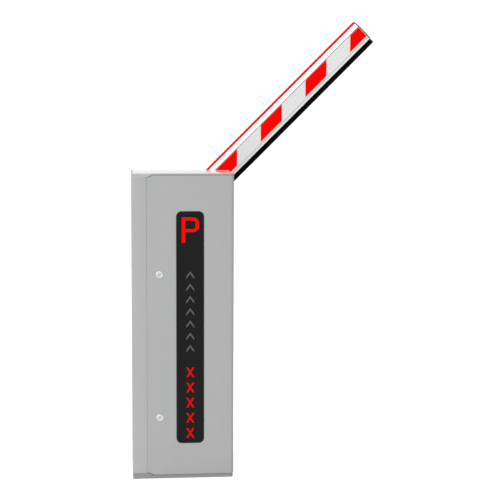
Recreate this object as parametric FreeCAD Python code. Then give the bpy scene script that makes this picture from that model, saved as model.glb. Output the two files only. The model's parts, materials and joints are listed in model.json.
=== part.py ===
import FreeCAD, Part
import math
import os

# Parking barrier gate: cabinet, door with display, balanced rocker drive and boom.
# Millimetres, +Z up, -Y is the front, the boom reaches towards +X.
# The origin is the centre of the anchor hole pattern, on the ground.

os.makedirs("parts", exist_ok=True)
V = FreeCAD.Vector
X_AXIS = V(1, 0, 0)
Y_AXIS = V(0, 1, 0)
Z_AXIS = V(0, 0, 1)

# Cabinet
cab_w = 340.0
cab_d = 300.0
cab_h = 1025.0
sheet = 2.0
roof_t = 5.0
lid_t = 2.5
lid_margin = 6.0
lid_front = 13.0
column_w = 50.0
column_top_r = 12.0
edge_r = 11.0
left_edge_r = 3.0
rim_h = 4.0
sill_h = 12.0
ogee_w = 26.0
ogee_h = 8.0
seam = 1.5
side_seam = 0.5

# Base
base_t = 8.0
plinth_t = 3.0
plinth_h = 30.0
anchor_dx = 250.0
anchor_dy = 190.0
anchor_r = 7.0
entry_w = 130.0
entry_d = 90.0

# Door
door_depth = 12.0
wall_gap = 5.0
hinge_in_x = 7.0
hinge_in_y = 9.0
hinge_pin_r = 2.5
hinge_pin_len = 16.0
hinge_tab_r = 4.4
hinge_tab_t = 5.0
frame_back = 21.0
frame_open_left = 70.0
frame_open_right = 30.0
frame_open_low = 45.0
frame_open_high = 45.0
lip_y = 9.0
gasket_w = 10.0
gasket_gap = 0.3

# Locks
lock_x = 92.5
lock_low_z = 209.5
lock_high_z = 691.5
lock_flange_r = 11.4
lock_flange_t = 1.6
lock_barrel_r = 9.5
lock_core_r = 7.0
lock_nut_r = 14.0
tongue_len = 38.0
tongue_w = 16.0
tongue_t = 3.0

# Display
disp_x = 24.0
disp_w = 93.0
disp_low = 120.0
disp_high = 901.0
disp_corner_r = 18.0
disp_gap = 0.4
face_t = 4.0
guide_t = 6.0
guide_gap = 0.25
tray_margin = 4.0
tray_depth = 36.0
board_y = 12.0
board_t = 1.6
p_x = 24.9
p_w = 56.5
p_low = 797.2
p_high = 880.0
p_stroke = 10.8
chevron_count = 7
chevron_top = 701.0
chevron_pitch = 41.15
chevron_w = 26.0
chevron_h = 25.0
chevron_stroke = 5.0
cross_count = 5
cross_top = 361.3
cross_pitch = 51.7
cross_w = 27.5
cross_h = 33.0
cross_stroke = 4.9

# Fits
run_fit = 0.05
pin_fit = 0.06
clear = 0.3

# Mechanism
pivot_z = 862.0
shaft_r = 15.0
shaft_front = 90.0
frame_t = 6.0
frame_half_w = 150.0
frame_front_y = -60.0
frame_rear_y = 126.0
frame_low = 500.0
frame_high = 985.0
bush_r = 19.0
housing_r = 26.0
flange_r = 38.0
flange_t = 8.0
lever_y = 20.0
lever_t = 14.0
lever_hub_r = 30.0
spring_arm = 80.0
drive_arm = 70.0
arm_w = 24.0
pin_r = 6.0
hanger_y = 38.0
hanger_t = 16.0
hanger_half_h = 25.0
slot_half_h = 9.0
guide_left_x = -120.0
guide_right_x = -36.0
guide_r = 5.0
spring_left_x = -98.0
spring_right_x = -58.0
spring_mean_r = 9.5
spring_wire_r = 1.5
spring_turns = 22
spring_base_z = 560.0
anchor_t = 8.0
crank_z = 640.0
crank_hub_r = 22.0
output_r = 11.0
rod_y = 0.0
rod_t = 14.0
eye_r = 14.0
link_r = 6.0
swing = 45.0
buffer_pos_r = 55.0
buffer_r = 8.0
buffer_stud_r = 5.0
buffer_gap = 0.5
cam_r = 24.0
cam_y = -84.0
cam_t = 8.0

# Drive
gear_x0 = -50.0
gear_x1 = 60.0
gear_z0 = 590.0
gear_z1 = 700.0
gear_y0 = 62.0
motor_r = 30.0
motor_len = 76.0
wheel_r = 26.0
wheel_t = 12.0

# Electrics
panel_y = 130.0
panel_t = 2.0
panel_half_w = 140.0
panel_low = 120.0
panel_high = 465.0
supply_y = 92.0
breaker_x = -120.0
breaker_w = 36.0
breaker_z = 378.0
breaker_h = 82.0
breaker_y = 62.0
toggle_r = 9.0
pcb_x0 = 5.0
pcb_x1 = 135.0
pcb_z0 = 150.0
pcb_z1 = 370.0
pcb_y = 118.0
button_r = 3.0
button_travel = 1.0
cable_r = 4.0
cable_bend = 16.0

# Boom
boom_y = 178.0
boom_depth = 45.0
boom_half_h = 38.5
boom_flat = 21.0
boom_facet = 10.0
boom_wall = 2.2
boom_web = 32.0
boom_tip = 930.0
boom_tail = -64.0
cap_t = 4.0
groove_w = 8.0
groove_d = 3.0
strip_w = 13.0
strip_h = 6.5
rubber_w = 20.0
rubber_h = 16.0
edge_start = 156.0
reflector_t = 0.4
reflector_len = 106.0
reflector_pitch = 225.0
reflector_start = 187.5
reflector_count = 4
cradle_t = 6.0
cradle_s0 = -80.0
cradle_s1 = 150.0
cradle_half_h = 58.0
clamp_t = 5.0
clamp_bolt_r = 4.0
clamp_bolt_n = 51.0
clamp_s0 = -45.0
clamp_s1 = 115.0
hub_r = 45.0

# Derived
left = -cab_w / 2
right = cab_w / 2
front = -cab_d / 2
back = cab_d / 2
door_left = left + column_w
door_top = cab_h - rim_h
hinge_x = right - hinge_in_x
hinge_y = front + hinge_in_y
frame_y = front + frame_back
wall_y = front + door_depth + wall_gap
lip_front = front + lip_y
lock_cx = left + lock_x
hanger_mid = hanger_y + hanger_t / 2
spring_top = pivot_z - hanger_half_h
pivot = V(0, 0, pivot_z)


def box(x0, x1, y0, y1, z0, z1):
    return Part.makeBox(x1 - x0, y1 - y0, z1 - z0, V(x0, y0, z0))


def rod(axis, x, y, z, r, length):
    return Part.makeCylinder(r, length, V(x, y, z), axis)


def ring(axis, x, y, z, r_out, r_in, length):
    outer = rod(axis, x, y, z, r_out, length)
    return outer.cut(rod(axis, x, y, z, r_in, length))


def hexagon(axis, x, y, z, across, length):
    """Hexagonal prism, for nuts and bolt heads."""
    radius = across / math.sqrt(3)
    pts = [V(radius * math.cos(math.radians(a)), radius * math.sin(math.radians(a)), 0) for a in range(0, 361, 60)]
    solid = Part.Face(Part.makePolygon(pts)).extrude(V(0, 0, length))
    solid.Placement = FreeCAD.Placement(V(x, y, z), FreeCAD.Rotation(Z_AXIS, axis))
    return solid


def fuse(shapes):
    """One solid from touching pieces."""
    body = shapes[0]
    if len(shapes) > 1:
        body = body.multiFuse(shapes[1:])
    return body.removeSplitter()


def cut(body, tools):
    for tool in tools:
        body = body.cut(tool)
    return body


def save(name, shapes):
    """Writes one node; a list stays as separate solids."""
    solids = []
    for shape in shapes if isinstance(shapes, list) else [shapes]:
        solids.extend(shape.Solids)
    node = solids[0] if len(solids) == 1 else Part.makeCompound(solids)
    node.exportStep("parts/" + name + ".step")


def face_xz(edges, y0, depth):
    """Prism along +Y from a closed loop of edges drawn at y = y0."""
    wire = Part.Wire(Part.__sortEdges__(edges))
    return Part.Face(wire).extrude(V(0, depth, 0))


def poly_xz(points, y0, depth):
    pts = [V(x, y0, z) for x, z in points]
    pts.append(pts[0])
    return Part.Face(Part.makePolygon(pts)).extrude(V(0, depth, 0))


def rounded_xz(x0, x1, z0, z1, r, y0, y1):
    body = box(x0, x1, y0, y1, z0, z1)
    edges = [e for e in body.Edges if abs(e.tangentAt(e.FirstParameter).y) > 0.99]
    return body.makeFillet(r, edges)


def ogee(x0, z0, x1, z1, y):
    """S-shaped edge, level at both ends."""
    mid = (x0 + x1) / 2
    curve = Part.BezierCurve()
    curve.setPoles([V(x0, y, z0), V(mid, y, z0), V(mid, y, z1), V(x1, y, z1)])
    return curve.toShape()


def line(x0, z0, x1, z1, y):
    return Part.makeLine(V(x0, y, z0), V(x1, y, z1))


def ogee_panel(x0, x1, z0, z1, y0, y1):
    """Door outline: both left corners are eased by an ogee."""
    top = z1 - ogee_h
    low = z0 + ogee_h
    edges = [
        line(x0, low, x0, top, y0),
        ogee(x0, top, x0 + ogee_w, z1, y0),
        line(x0 + ogee_w, z1, x1, z1, y0),
        line(x1, z1, x1, z0, y0),
        line(x1, z0, x0 + ogee_w, z0, y0),
        ogee(x0 + ogee_w, z0, x0, low, y0),
    ]
    return face_xz(edges, y0, y1 - y0)


def footprint(inset, z0, z1):
    """Cabinet plan with rounded front corners, drawn in by the inset."""
    body = box(left + inset, right - inset, front + inset, back - inset, z0, z1)
    big = []
    small = []
    for edge in body.Edges:
        mid = edge.CenterOfMass
        if abs(mid.z - (z0 + z1) / 2) > 0.01 or mid.y > 0:
            continue
        if mid.x > 0:
            big.append(edge)
        else:
            small.append(edge)
    body = body.makeFillet(edge_r - inset, big)
    if left_edge_r - inset > 0.2:
        edges = [e for e in body.Edges if e.CenterOfMass.x < left + inset + 0.01
                 and e.CenterOfMass.y < front + inset + 0.01]
        body = body.makeFillet(left_edge_r - inset, edges)
    return body


def boom_frame(shape):
    """Turns a piece drawn along +X about the pivot up to the rest angle."""
    turned = shape.copy()
    turned.rotate(pivot, V(0, -1, 0), swing)
    return turned


# ---------------------------------------------------------------- base and cabinet

def base_plate():
    inset = sheet + plinth_t
    plate = footprint(inset, 0, base_t)
    holes = [rod(Z_AXIS, sx * anchor_dx / 2, sy * anchor_dy / 2, -1, anchor_r, base_t + 2)
             for sx in (-1, 1) for sy in (-1, 1)]
    entry = box(-entry_w / 2, entry_w / 2, -entry_d / 2, entry_d / 2, -1, base_t + 1)
    return cut(plate, holes + [entry])


def plinth():
    """Recessed skirt; its front edge follows the ogee under the column."""
    tall = footprint(sheet, 0, plinth_h)
    core = footprint(sheet + plinth_t, -1, plinth_h + 1)
    skirt = tall.cut(core)
    above = ogee_panel(door_left - seam, right + 1, sill_h, door_top, front - 1, frame_y)
    behind_door = box(door_left, right + 1, frame_y, frame_y + sheet, sill_h, plinth_h + 1)
    behind_column = box(left - 1, door_left + 1, frame_y, frame_y + sheet, sill_h, plinth_h + 1)
    fold = box(door_left - sheet, door_left, front, frame_y, sill_h + ogee_h, plinth_h + 1)
    return cut(skirt, [above, behind_door, behind_column, fold])


def top_round():
    """Cutter that rounds the column's top front edge and fades out along the ogee."""
    def corner(x, r):
        y = front
        z = cab_h
        arc = Part.Arc(V(x, y, z - r), V(x, y + r * (1 - math.sqrt(0.5)), z - r * (1 - math.sqrt(0.5))), V(x, y + r, z))
        out = 1.0
        return Part.Wire([
            arc.toShape(),
            Part.makeLine(V(x, y + r, z), V(x, y + r, z + out)),
            Part.makeLine(V(x, y + r, z + out), V(x, y - out, z + out)),
            Part.makeLine(V(x, y - out, z + out), V(x, y - out, z - r)),
            Part.makeLine(V(x, y - out, z - r), V(x, y, z - r)),
        ])
    main = Part.makeLoft([corner(left - 1, column_top_r), corner(door_left, column_top_r)], True, True)
    fade = Part.makeLoft([corner(door_left, column_top_r), corner(door_left + ogee_w, 0.8)], True, True)
    return [main, fade]


def vent_slots():
    slots = []
    for z0 in (560.0, 90.0):
        for k in range(6):
            z = z0 + 14.0 * k
            slots.append(rounded_xz(-60.0, 60.0, z, z + 4.0, 1.9, back - sheet - 1, back + 1))
    return slots


def cabinet_shell():
    body = footprint(0, sill_h, cab_h)
    body = body.cut(footprint(sheet, sill_h - 1, cab_h - roof_t))
    door_cut = ogee_panel(door_left, right + 1, sill_h, door_top, front - 1, wall_y)
    low = box(left - 1, door_left + ogee_w + 1, front - 1, front + sheet, 0, sill_h + ogee_h)
    body = cut(body, [door_cut, low] + top_round())
    lid_pocket = box(left + lid_margin, right - lid_margin, front + lid_front, back - lid_margin, cab_h - lid_t, cab_h + 1)
    access = box(-130, 130, front + 40, back - 40, cab_h - roof_t - 1, cab_h)
    shaft_hole = rod(Y_AXIS, 0, back - sheet - 1, pivot_z, 24.0, sheet + 2)
    body = cut(body, [lid_pocket, access, shaft_hole] + vent_slots() + lid_screw_holes())
    inner_return = box(door_left - sheet, door_left, front + sheet / 2, frame_y, sill_h + ogee_h, door_top)
    return fuse([body, inner_return])


def lid_points():
    return [(sx * (right - 20), y) for sx in (-1, 1) for y in (front + 30, back - 24)]


def lid_screw_holes():
    return [rod(Z_AXIS, x, y, cab_h - roof_t - 1, 2.1, roof_t) for x, y in lid_points()]


def top_lid():
    lid = box(left + lid_margin + clear, right - lid_margin - clear, front + lid_front + clear,
              back - lid_margin - clear, cab_h - lid_t, cab_h)
    holes = [rod(Z_AXIS, x, y, cab_h - lid_t - 1, 2.1, lid_t + 2) for x, y in lid_points()]
    sinks = [Part.makeCone(2.1, 4.2, 2.1, V(x, y, cab_h - 2.1), Z_AXIS) for x, y in lid_points()]
    return cut(lid, holes + sinks)


def lid_screws():
    screws = []
    for x, y in lid_points():
        shank = rod(Z_AXIS, x, y, cab_h - 12.0, 2.0, 10.0)
        head = Part.makeCone(2.0, 4.0, 2.0, V(x, y, cab_h - 2.1), Z_AXIS)
        screws.append(fuse([shank, head]).cut(rod(Z_AXIS, x, y, cab_h - 1.3, 1.2, 2.0)))
    return screws


# ---------------------------------------------------------------- door

def door_frame():
    """Inner frame behind the door, with a raised lip and the two hinge tabs."""
    x0 = left + frame_open_left
    x1 = right - frame_open_right
    z0 = frame_open_low
    z1 = cab_h - frame_open_high
    plate = box(left + sheet, right - sheet, frame_y, frame_y + sheet, sill_h, cab_h - roof_t)
    tube = box(x0 - sheet, x1 + sheet, lip_front, frame_y + sheet, z0 - sheet, z1 + sheet)
    hole = box(x0, x1, lip_front - 1, frame_y + sheet + 1, z0, z1)
    tabs = []
    for z in hinge_tab_levels():
        tip = rod(Z_AXIS, hinge_x, hinge_y, z, hinge_tab_r, hinge_tab_t)
        neck = box(x1 + 8, hinge_x, hinge_y - hinge_tab_r, hinge_y + 3.0, z, z + hinge_tab_t)
        web = box(x1 + sheet / 2, x1 + 10, hinge_y - hinge_tab_r, frame_y + 1, z, z + hinge_tab_t)
        tabs.extend([tip, neck, web])
    frame = fuse([plate, tube] + tabs)
    holes = [rod(Z_AXIS, hinge_x, hinge_y, z - 1, hinge_pin_r, hinge_tab_t + 2) for z in hinge_tab_levels()]
    return cut(frame, [hole] + holes)


def hinge_tab_levels():
    """Undersides of the tabs, just inside the door's top and bottom folds."""
    gap = 1.0
    return (sill_h + seam + sheet + gap, door_top - seam - sheet - gap - hinge_tab_t)


def door_hinge_pins():
    low, high = hinge_tab_levels()
    lower = rod(Z_AXIS, hinge_x, hinge_y, low + hinge_tab_t - hinge_pin_len / 2, hinge_pin_r, hinge_pin_len / 2 + 1)
    upper = rod(Z_AXIS, hinge_x, hinge_y, high - 1, hinge_pin_r, hinge_pin_len / 2 + 1)
    lower_head = rod(Z_AXIS, hinge_x, hinge_y, low + hinge_tab_t, hinge_pin_r + 1.2, 1.5)
    upper_head = rod(Z_AXIS, hinge_x, hinge_y, high - 1.5, hinge_pin_r + 1.2, 1.5)
    return [fuse([lower, lower_head]), fuse([upper, upper_head])]


def door_panel():
    x0 = door_left + side_seam
    z0 = sill_h + seam
    z1 = door_top - seam
    rear = front + door_depth
    outer = ogee_panel(x0, right + 1, z0, z1, front - 1, rear).common(footprint(0, 0, cab_h))
    inner = ogee_panel(x0 + sheet, right + 1, z0 + sheet, z1 - sheet, front - 1, rear + 1)
    inner = inner.common(footprint(sheet, 0, cab_h))
    body = outer.cut(inner)
    window = rounded_xz(disp_x - disp_w / 2, disp_x + disp_w / 2, disp_low, disp_high, disp_corner_r, front - 1,
                        front + sheet + 1)
    locks = [rod(Y_AXIS, lock_cx, front - 1, z, lock_barrel_r + 0.1, sheet + 2) for z in (lock_low_z, lock_high_z)]
    pins = [rod(Z_AXIS, hinge_x, hinge_y, z0 - 1, hinge_pin_r + pin_fit, sheet + 1.5),
            rod(Z_AXIS, hinge_x, hinge_y, z1 - sheet - 0.5, hinge_pin_r + pin_fit, sheet + 1.5)]
    return cut(body, [window] + locks + pins)


def door_gasket():
    """Foam strip on the door's inner face, facing the frame lip."""
    x0 = left + frame_open_left - sheet / 2 - gasket_w / 2
    x1 = right - frame_open_right + sheet / 2 + gasket_w / 2
    z0 = frame_open_low - sheet / 2 - gasket_w / 2
    z1 = cab_h - frame_open_high + sheet / 2 + gasket_w / 2
    y0 = front + sheet
    y1 = lip_front - gasket_gap
    outer = box(x0, x1, y0, y1, z0, z1)
    return outer.cut(box(x0 + gasket_w, x1 - gasket_w, y0 - 1, y1 + 1, z0 + gasket_w, z1 - gasket_w))


def lock_bodies():
    bodies = []
    for z in (lock_low_z, lock_high_z):
        flange = rod(Y_AXIS, lock_cx, front - lock_flange_t, z, lock_flange_r, lock_flange_t)
        edges = [e for e in flange.Edges if abs(e.CenterOfMass.y - (front - lock_flange_t)) < 0.01]
        flange = flange.makeFillet(0.8, edges)
        barrel = rod(Y_AXIS, lock_cx, front - 0.5, z, lock_barrel_r, 23.0)
        nut = rod(Y_AXIS, lock_cx, front + sheet, z, lock_nut_r, 4.0)
        bore = rod(Y_AXIS, lock_cx, front - 5, z, lock_core_r + run_fit, 40.0)
        bodies.append(fuse([flange, barrel, nut]).cut(bore))
    return bodies


def lock_core(z, up):
    """Turning core with a key slot in its face and a tongue at the back."""
    tongue_y = frame_y + sheet + 0.6
    core = rod(Y_AXIS, lock_cx, front - lock_flange_t + 1.0, z, lock_core_r, tongue_y - front + lock_flange_t - 0.9)
    slot = box(lock_cx - 0.8, lock_cx + 0.8, front - 6, front + 4, z - 4.0, z + 4.0)
    z0 = z - lock_core_r - 2 if up else z - tongue_len
    z1 = z + tongue_len if up else z + lock_core_r + 2
    tongue = box(lock_cx - tongue_w / 2, lock_cx + tongue_w / 2, tongue_y, tongue_y + tongue_t, z0, z1)
    head = hexagon(Y_AXIS, lock_cx, tongue_y + tongue_t, z, 13.0, 4.0)
    return fuse([core, tongue, head]).cut(slot)


# ---------------------------------------------------------------- display

def p_outline(grow):
    """Capital P: a stem, and a bowl with rounded right corners."""
    x0 = p_x - p_w / 2
    x1 = p_x + p_w / 2
    mid = p_low + (p_high - p_low) * 0.42
    y0 = front
    outer_r = 20.0
    bowl = box(x0 - grow, x1 + grow, y0, y0 + guide_t, mid - grow, p_high + grow)
    edges = [e for e in bowl.Edges if abs(e.tangentAt(e.FirstParameter).y) > 0.99 and e.CenterOfMass.x > disp_x]
    bowl = bowl.makeFillet(outer_r + grow, edges)
    hole = box(x0 + p_stroke + grow, x1 - p_stroke - grow, y0 - 1, y0 + guide_t + 1,
               mid + p_stroke - 1.5 + grow, p_high - p_stroke + 1.5 - grow)
    edges = [e for e in hole.Edges if abs(e.tangentAt(e.FirstParameter).y) > 0.99 and e.CenterOfMass.x > disp_x]
    hole = hole.makeFillet(outer_r - p_stroke, edges)
    stem = box(x0 - grow, x0 + p_stroke + grow, y0, y0 + guide_t, p_low - grow, p_high - outer_r)
    return fuse([bowl, stem]).cut(hole)


def cross_solid(z, grow):
    """Two crossing strokes, cut level at top and bottom."""
    half_w = cross_w / 2
    half_h = cross_h / 2
    run = 2 * half_w - cross_stroke * 1.25
    strokes = []
    for side in (-1, 1):
        a = disp_x - side * half_w
        b = a + side * cross_stroke * 1.25
        c = disp_x + side * half_w
        d = c - side * cross_stroke * 1.25
        pts = [(a - side * grow, z - half_h - grow), (b + side * grow, z - half_h - grow),
               (c + side * grow, z + half_h + grow), (d - side * grow, z + half_h + grow)]
        strokes.append(poly_xz(pts, front, guide_t))
    return fuse(strokes)


def chevron_solid(z_apex, grow):
    """Open arrow head pointing up."""
    half = chevron_w / 2
    thick = chevron_stroke * 1.6
    pts = [(disp_x, z_apex + grow * 1.6),
           (disp_x + half + grow, z_apex - chevron_h + thick + grow * 0.5),
           (disp_x + half + grow, z_apex - chevron_h - grow * 2.9),
           (disp_x, z_apex - thick - grow * 1.6),
           (disp_x - half - grow, z_apex - chevron_h - grow * 2.9),
           (disp_x - half - grow, z_apex - chevron_h + thick + grow * 0.5)]
    return poly_xz(pts, front, guide_t)


def cross_levels():
    return [cross_top - k * cross_pitch for k in range(cross_count)]


def chevron_levels():
    return [chevron_top - k * chevron_pitch for k in range(chevron_count)]


def display_face():
    plate = rounded_xz(disp_x - disp_w / 2 + disp_gap, disp_x + disp_w / 2 - disp_gap, disp_low + disp_gap,
                       disp_high - disp_gap, disp_corner_r - disp_gap, front, front + face_t)
    tools = [p_outline(guide_gap)]
    tools.extend(cross_solid(z, guide_gap) for z in cross_levels())
    tools.extend(chevron_solid(z, guide_gap) for z in chevron_levels())
    return cut(plate, tools)


def tray_box(inset, y0, y1):
    m = tray_margin - inset
    return rounded_xz(disp_x - disp_w / 2 - m, disp_x + disp_w / 2 + m, disp_low - m, disp_high + m,
                      disp_corner_r + m, y0, y1)


def display_housing():
    y0 = front + sheet
    body = tray_box(0, y0, y0 + tray_depth).cut(tray_box(sheet, y0 - 1, y0 + tray_depth + 1))
    posts = []
    for x in (disp_x - disp_w / 2 + 1, disp_x + disp_w / 2 - 1):
        for z in display_post_levels():
            side = -1 if x < disp_x else 1
            x_in = x - side * 7
            x_out = x + side * 4
            posts.append(box(min(x_in, x_out), max(x_in, x_out), front + board_y + board_t, y0 + tray_depth, z - 4, z + 4))
    return fuse([body] + posts)


def display_post_levels():
    span = disp_high - disp_low
    return [disp_low + span * f for f in (0.12, 0.5, 0.88)]


def display_rear_cover():
    y0 = front + sheet + tray_depth
    body = tray_box(0, y0, y0 + sheet)
    plug = rod(Y_AXIS, disp_x, y0 - 4, disp_low + 60, 9.0, 16.0)
    body = fuse([body, plug])
    slots = []
    for k in range(8):
        z = disp_high - 60 - 12.0 * k
        slots.append(rounded_xz(disp_x - 25, disp_x + 25, z, z + 4, 1.9, y0 - 1, y0 + sheet + 1))
    return cut(body, slots)


def display_board():
    """Lamp board: one package behind every sign."""
    y0 = front + board_y
    board = box(disp_x - disp_w / 2 + 2, disp_x + disp_w / 2 - 2, y0, y0 + board_t, disp_low + 22, disp_high - 6)
    lamps = []
    for z in cross_levels() + [z - chevron_h * 0.45 for z in chevron_levels()]:
        for dx in (-8.0, 0.0, 8.0):
            lamps.append(box(disp_x + dx - 2.5, disp_x + dx + 2.5, y0 - 2.5, y0 + 0.1, z - 2.5, z + 2.5))
    for k in range(6):
        z = p_low + 8 + 14.0 * k
        lamps.append(box(disp_x - p_w / 2 + 3, disp_x - p_w / 2 + 9, y0 - 2.5, y0 + 0.1, z - 2.5, z + 2.5))
    return fuse([board] + lamps)


# ---------------------------------------------------------------- mechanism

def buffer_points():
    """Stops meet the drive arm's edges at both ends of the swing."""
    lean = math.degrees(math.asin((arm_w / 2 + buffer_r + buffer_gap) / buffer_pos_r))
    angle = math.radians(swing + lean)
    return [(buffer_pos_r * math.cos(angle), pivot_z + s * buffer_pos_r * math.sin(angle)) for s in (1, -1)]


def cable_point():
    """Where the motor lead passes down through the shelf."""
    return (gear_x1 + 34, (gear_y0 + frame_rear_y) / 2)


def mech_frame():
    """Welded frame: two plates, a shelf, the guide rod bridge and the spring anchor."""
    w = frame_half_w
    rear_end = frame_rear_y + frame_t
    front_plate = box(-w, w, frame_front_y, frame_front_y + frame_t, frame_low, frame_high)
    rear_plate = box(-w, w, frame_rear_y, rear_end, frame_low, frame_high)
    shelf = box(-w, w, frame_front_y, rear_end, frame_low, frame_low + frame_t)
    bridge = box(guide_left_x - 12, guide_right_x + 12, frame_front_y, rear_end, frame_high - 20, frame_high - 12)
    anchor = box(spring_left_x - 10, spring_right_x + 10, hanger_mid - 16, rear_end - 1,
                 spring_base_z - 12 - anchor_t, spring_base_z - 12)
    bodies = [front_plate, rear_plate, shelf, bridge, anchor]
    for x, z in buffer_points():
        bodies.append(rod(Y_AXIS, x, frame_front_y, z, buffer_stud_r, lever_y + lever_t + 4 - frame_front_y))
    window = box(-w + 25, w - 25, frame_front_y - 1, frame_front_y + frame_t + 1, frame_low + 25, pivot_z - 75)
    upper = box(10, w - 25, frame_front_y - 1, frame_front_y + frame_t + 1, pivot_z + 75, frame_high - 25)
    floor = box(20, w - 25, frame_front_y + 30, 50, frame_low - 1, frame_low + frame_t + 1)
    rear_window = box(-w + 25, -60, frame_rear_y - 1, rear_end + 1, 600, pivot_z - 75)
    bores = [rod(Y_AXIS, 0, y - 1, pivot_z, housing_r, frame_t + 2) for y in (frame_front_y, frame_rear_y)]
    seats = [rod(Z_AXIS, x, hanger_mid, frame_low - 1, guide_r, frame_high) for x in (guide_left_x, guide_right_x)]
    seats.append(rod(Z_AXIS, *cable_point(), frame_low - 1, cable_r + 6, frame_t + 2))
    studs = [rod(Z_AXIS, x, hanger_mid, spring_base_z - 12 - anchor_t - 1, 4.0, anchor_t + 2)
             for x in (spring_left_x, spring_right_x)]
    return cut(fuse(bodies), [window, upper, floor, rear_window] + bores + seats + studs)


def frame_brackets():
    """Angles that carry the frame on the side walls."""
    angles = []
    for side in (-1, 1):
        for y in (frame_front_y + 10, frame_rear_y - 30):
            x0 = min(side * (frame_half_w - 24), side * (right - sheet))
            x1 = max(side * (frame_half_w - 24), side * (right - sheet))
            flat = box(x0, x1, y, y + 26, frame_low - 4, frame_low)
            xw0 = min(side * (right - sheet), side * (right - sheet - 4))
            wall = box(xw0, xw0 + 4, y, y + 26, frame_low - 40, frame_low)
            bolt = hexagon(Z_AXIS, side * (frame_half_w - 12), y + 13, frame_low - 9, 10.0, 5.0)
            angles.append(fuse([flat, wall, bolt]))
    return angles


def bearing_housings():
    bodies = []
    for y_flange, y_boss, length in ((frame_front_y - flange_t, frame_front_y - flange_t, 20.0),
                                     (frame_rear_y - flange_t, frame_rear_y - flange_t, 20.0)):
        flange = rod(Y_AXIS, 0, y_flange, pivot_z, flange_r, flange_t)
        boss = rod(Y_AXIS, 0, y_boss, pivot_z, housing_r, length)
        bolts = []
        for k in range(4):
            a = math.radians(45 + 90 * k)
            bolts.append(hexagon(Y_AXIS, 32 * math.cos(a), y_flange - 3.5, pivot_z + 32 * math.sin(a), 8.0, 4.0))
        bodies.append(fuse([flange, boss] + bolts).cut(rod(Y_AXIS, 0, y_flange - 5, pivot_z, bush_r, length + 10)))
    return bodies


def bearing_bushes():
    return [ring(Y_AXIS, 0, y - flange_t, pivot_z, bush_r, shaft_r + run_fit, 20.0)
            for y in (frame_front_y, frame_rear_y)]


def main_shaft():
    end = boom_y - cradle_t
    shaft = rod(Y_AXIS, 0, -shaft_front, pivot_z, shaft_r, shaft_front + end - 2)
    grooves = [ring(Y_AXIS, 0, y, pivot_z, shaft_r + 1, shaft_r - 1, 2.0) for y in (cam_y + cam_t + 3,)]
    centre = Part.makeCone(0.0, 4.0, 4.0, V(0, -shaft_front + 4.0, pivot_z), V(0, -1, 0))
    return cut(shaft, grooves + [centre])


def arm(x_end, y0, thick, hub_r, width, z):
    """Lever arm from its hub to a round eye at x_end."""
    eye = rod(Y_AXIS, x_end, y0, z, width / 2, thick)
    web = box(min(0, x_end), max(0, x_end), y0, y0 + thick, z - width / 2, z + width / 2)
    return [eye, web]


def rocker_lever():
    hub = rod(Y_AXIS, 0, lever_y - 2, pivot_z, lever_hub_r, lever_t + 3)
    pieces = [hub] + arm(-spring_arm, lever_y, lever_t, lever_hub_r, arm_w, pivot_z)
    pieces += arm(drive_arm, lever_y, lever_t, lever_hub_r, arm_w, pivot_z)
    body = fuse(pieces)
    holes = [rod(Y_AXIS, 0, lever_y - 10, pivot_z, shaft_r, 50),
             rod(Y_AXIS, -spring_arm, lever_y - 5, pivot_z, pin_r, 30),
             rod(Y_AXIS, drive_arm, lever_y - 5, pivot_z, pin_r, 30)]
    return cut(body, holes)


def lever_pins():
    spring_pin = rod(Y_AXIS, -spring_arm, lever_y - 3, pivot_z, pin_r, hanger_y + hanger_t + 5 - lever_y)
    spring_head = rod(Y_AXIS, -spring_arm, lever_y - 6, pivot_z, pin_r + 3, 6.0)
    drive_pin = rod(Y_AXIS, drive_arm, rod_y - 4, pivot_z, pin_r, lever_y + lever_t + 4 - rod_y)
    drive_head = rod(Y_AXIS, drive_arm, rod_y - 7, pivot_z, pin_r + 3, 5.0)
    return [fuse([spring_pin, spring_head]), fuse([drive_pin, drive_head])]


def spring_hanger():
    """Slides on two rods; the lever pin rides in its level slot."""
    x0 = guide_left_x - 12
    x1 = guide_right_x + 12
    body = box(x0, x1, hanger_y, hanger_y + hanger_t, pivot_z - hanger_half_h, pivot_z + hanger_half_h)
    near = -spring_arm * math.cos(math.radians(swing)) + pin_r + 1.2
    far = -spring_arm - pin_r - 1.2
    slot = box(far, near, hanger_y - 1, hanger_y + hanger_t + 1, pivot_z - slot_half_h, pivot_z + slot_half_h)
    bores = [rod(Z_AXIS, x, hanger_mid, pivot_z - 60, guide_r + run_fit, 120) for x in (guide_left_x, guide_right_x)]
    return cut(body, [slot] + bores)


def guide_rods():
    return [rod(Z_AXIS, x, hanger_mid, frame_low, guide_r, frame_high - 12 - frame_low)
            for x in (guide_left_x, guide_right_x)]


def balance_springs():
    springs = []
    height = spring_top - spring_base_z - 2 * spring_wire_r - 1.0
    pitch = height / spring_turns
    for x in (spring_left_x, spring_right_x):
        helix = Part.makeHelix(pitch, height, spring_mean_r)
        circle = Part.Wire([Part.Circle(V(spring_mean_r, 0, 0), V(0, 1, pitch / (2 * math.pi * spring_mean_r)),
                                        spring_wire_r).toShape()])
        coil = helix.makePipeShell([circle], True, True)
        coil.translate(V(x, hanger_mid, spring_base_z + spring_wire_r + 0.5))
        springs.append(coil)
    return springs


def spring_plugs():
    return [rod(Z_AXIS, x, hanger_mid, spring_top - 22, spring_mean_r - spring_wire_r - clear, 22)
            for x in (spring_left_x, spring_right_x)]


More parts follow.
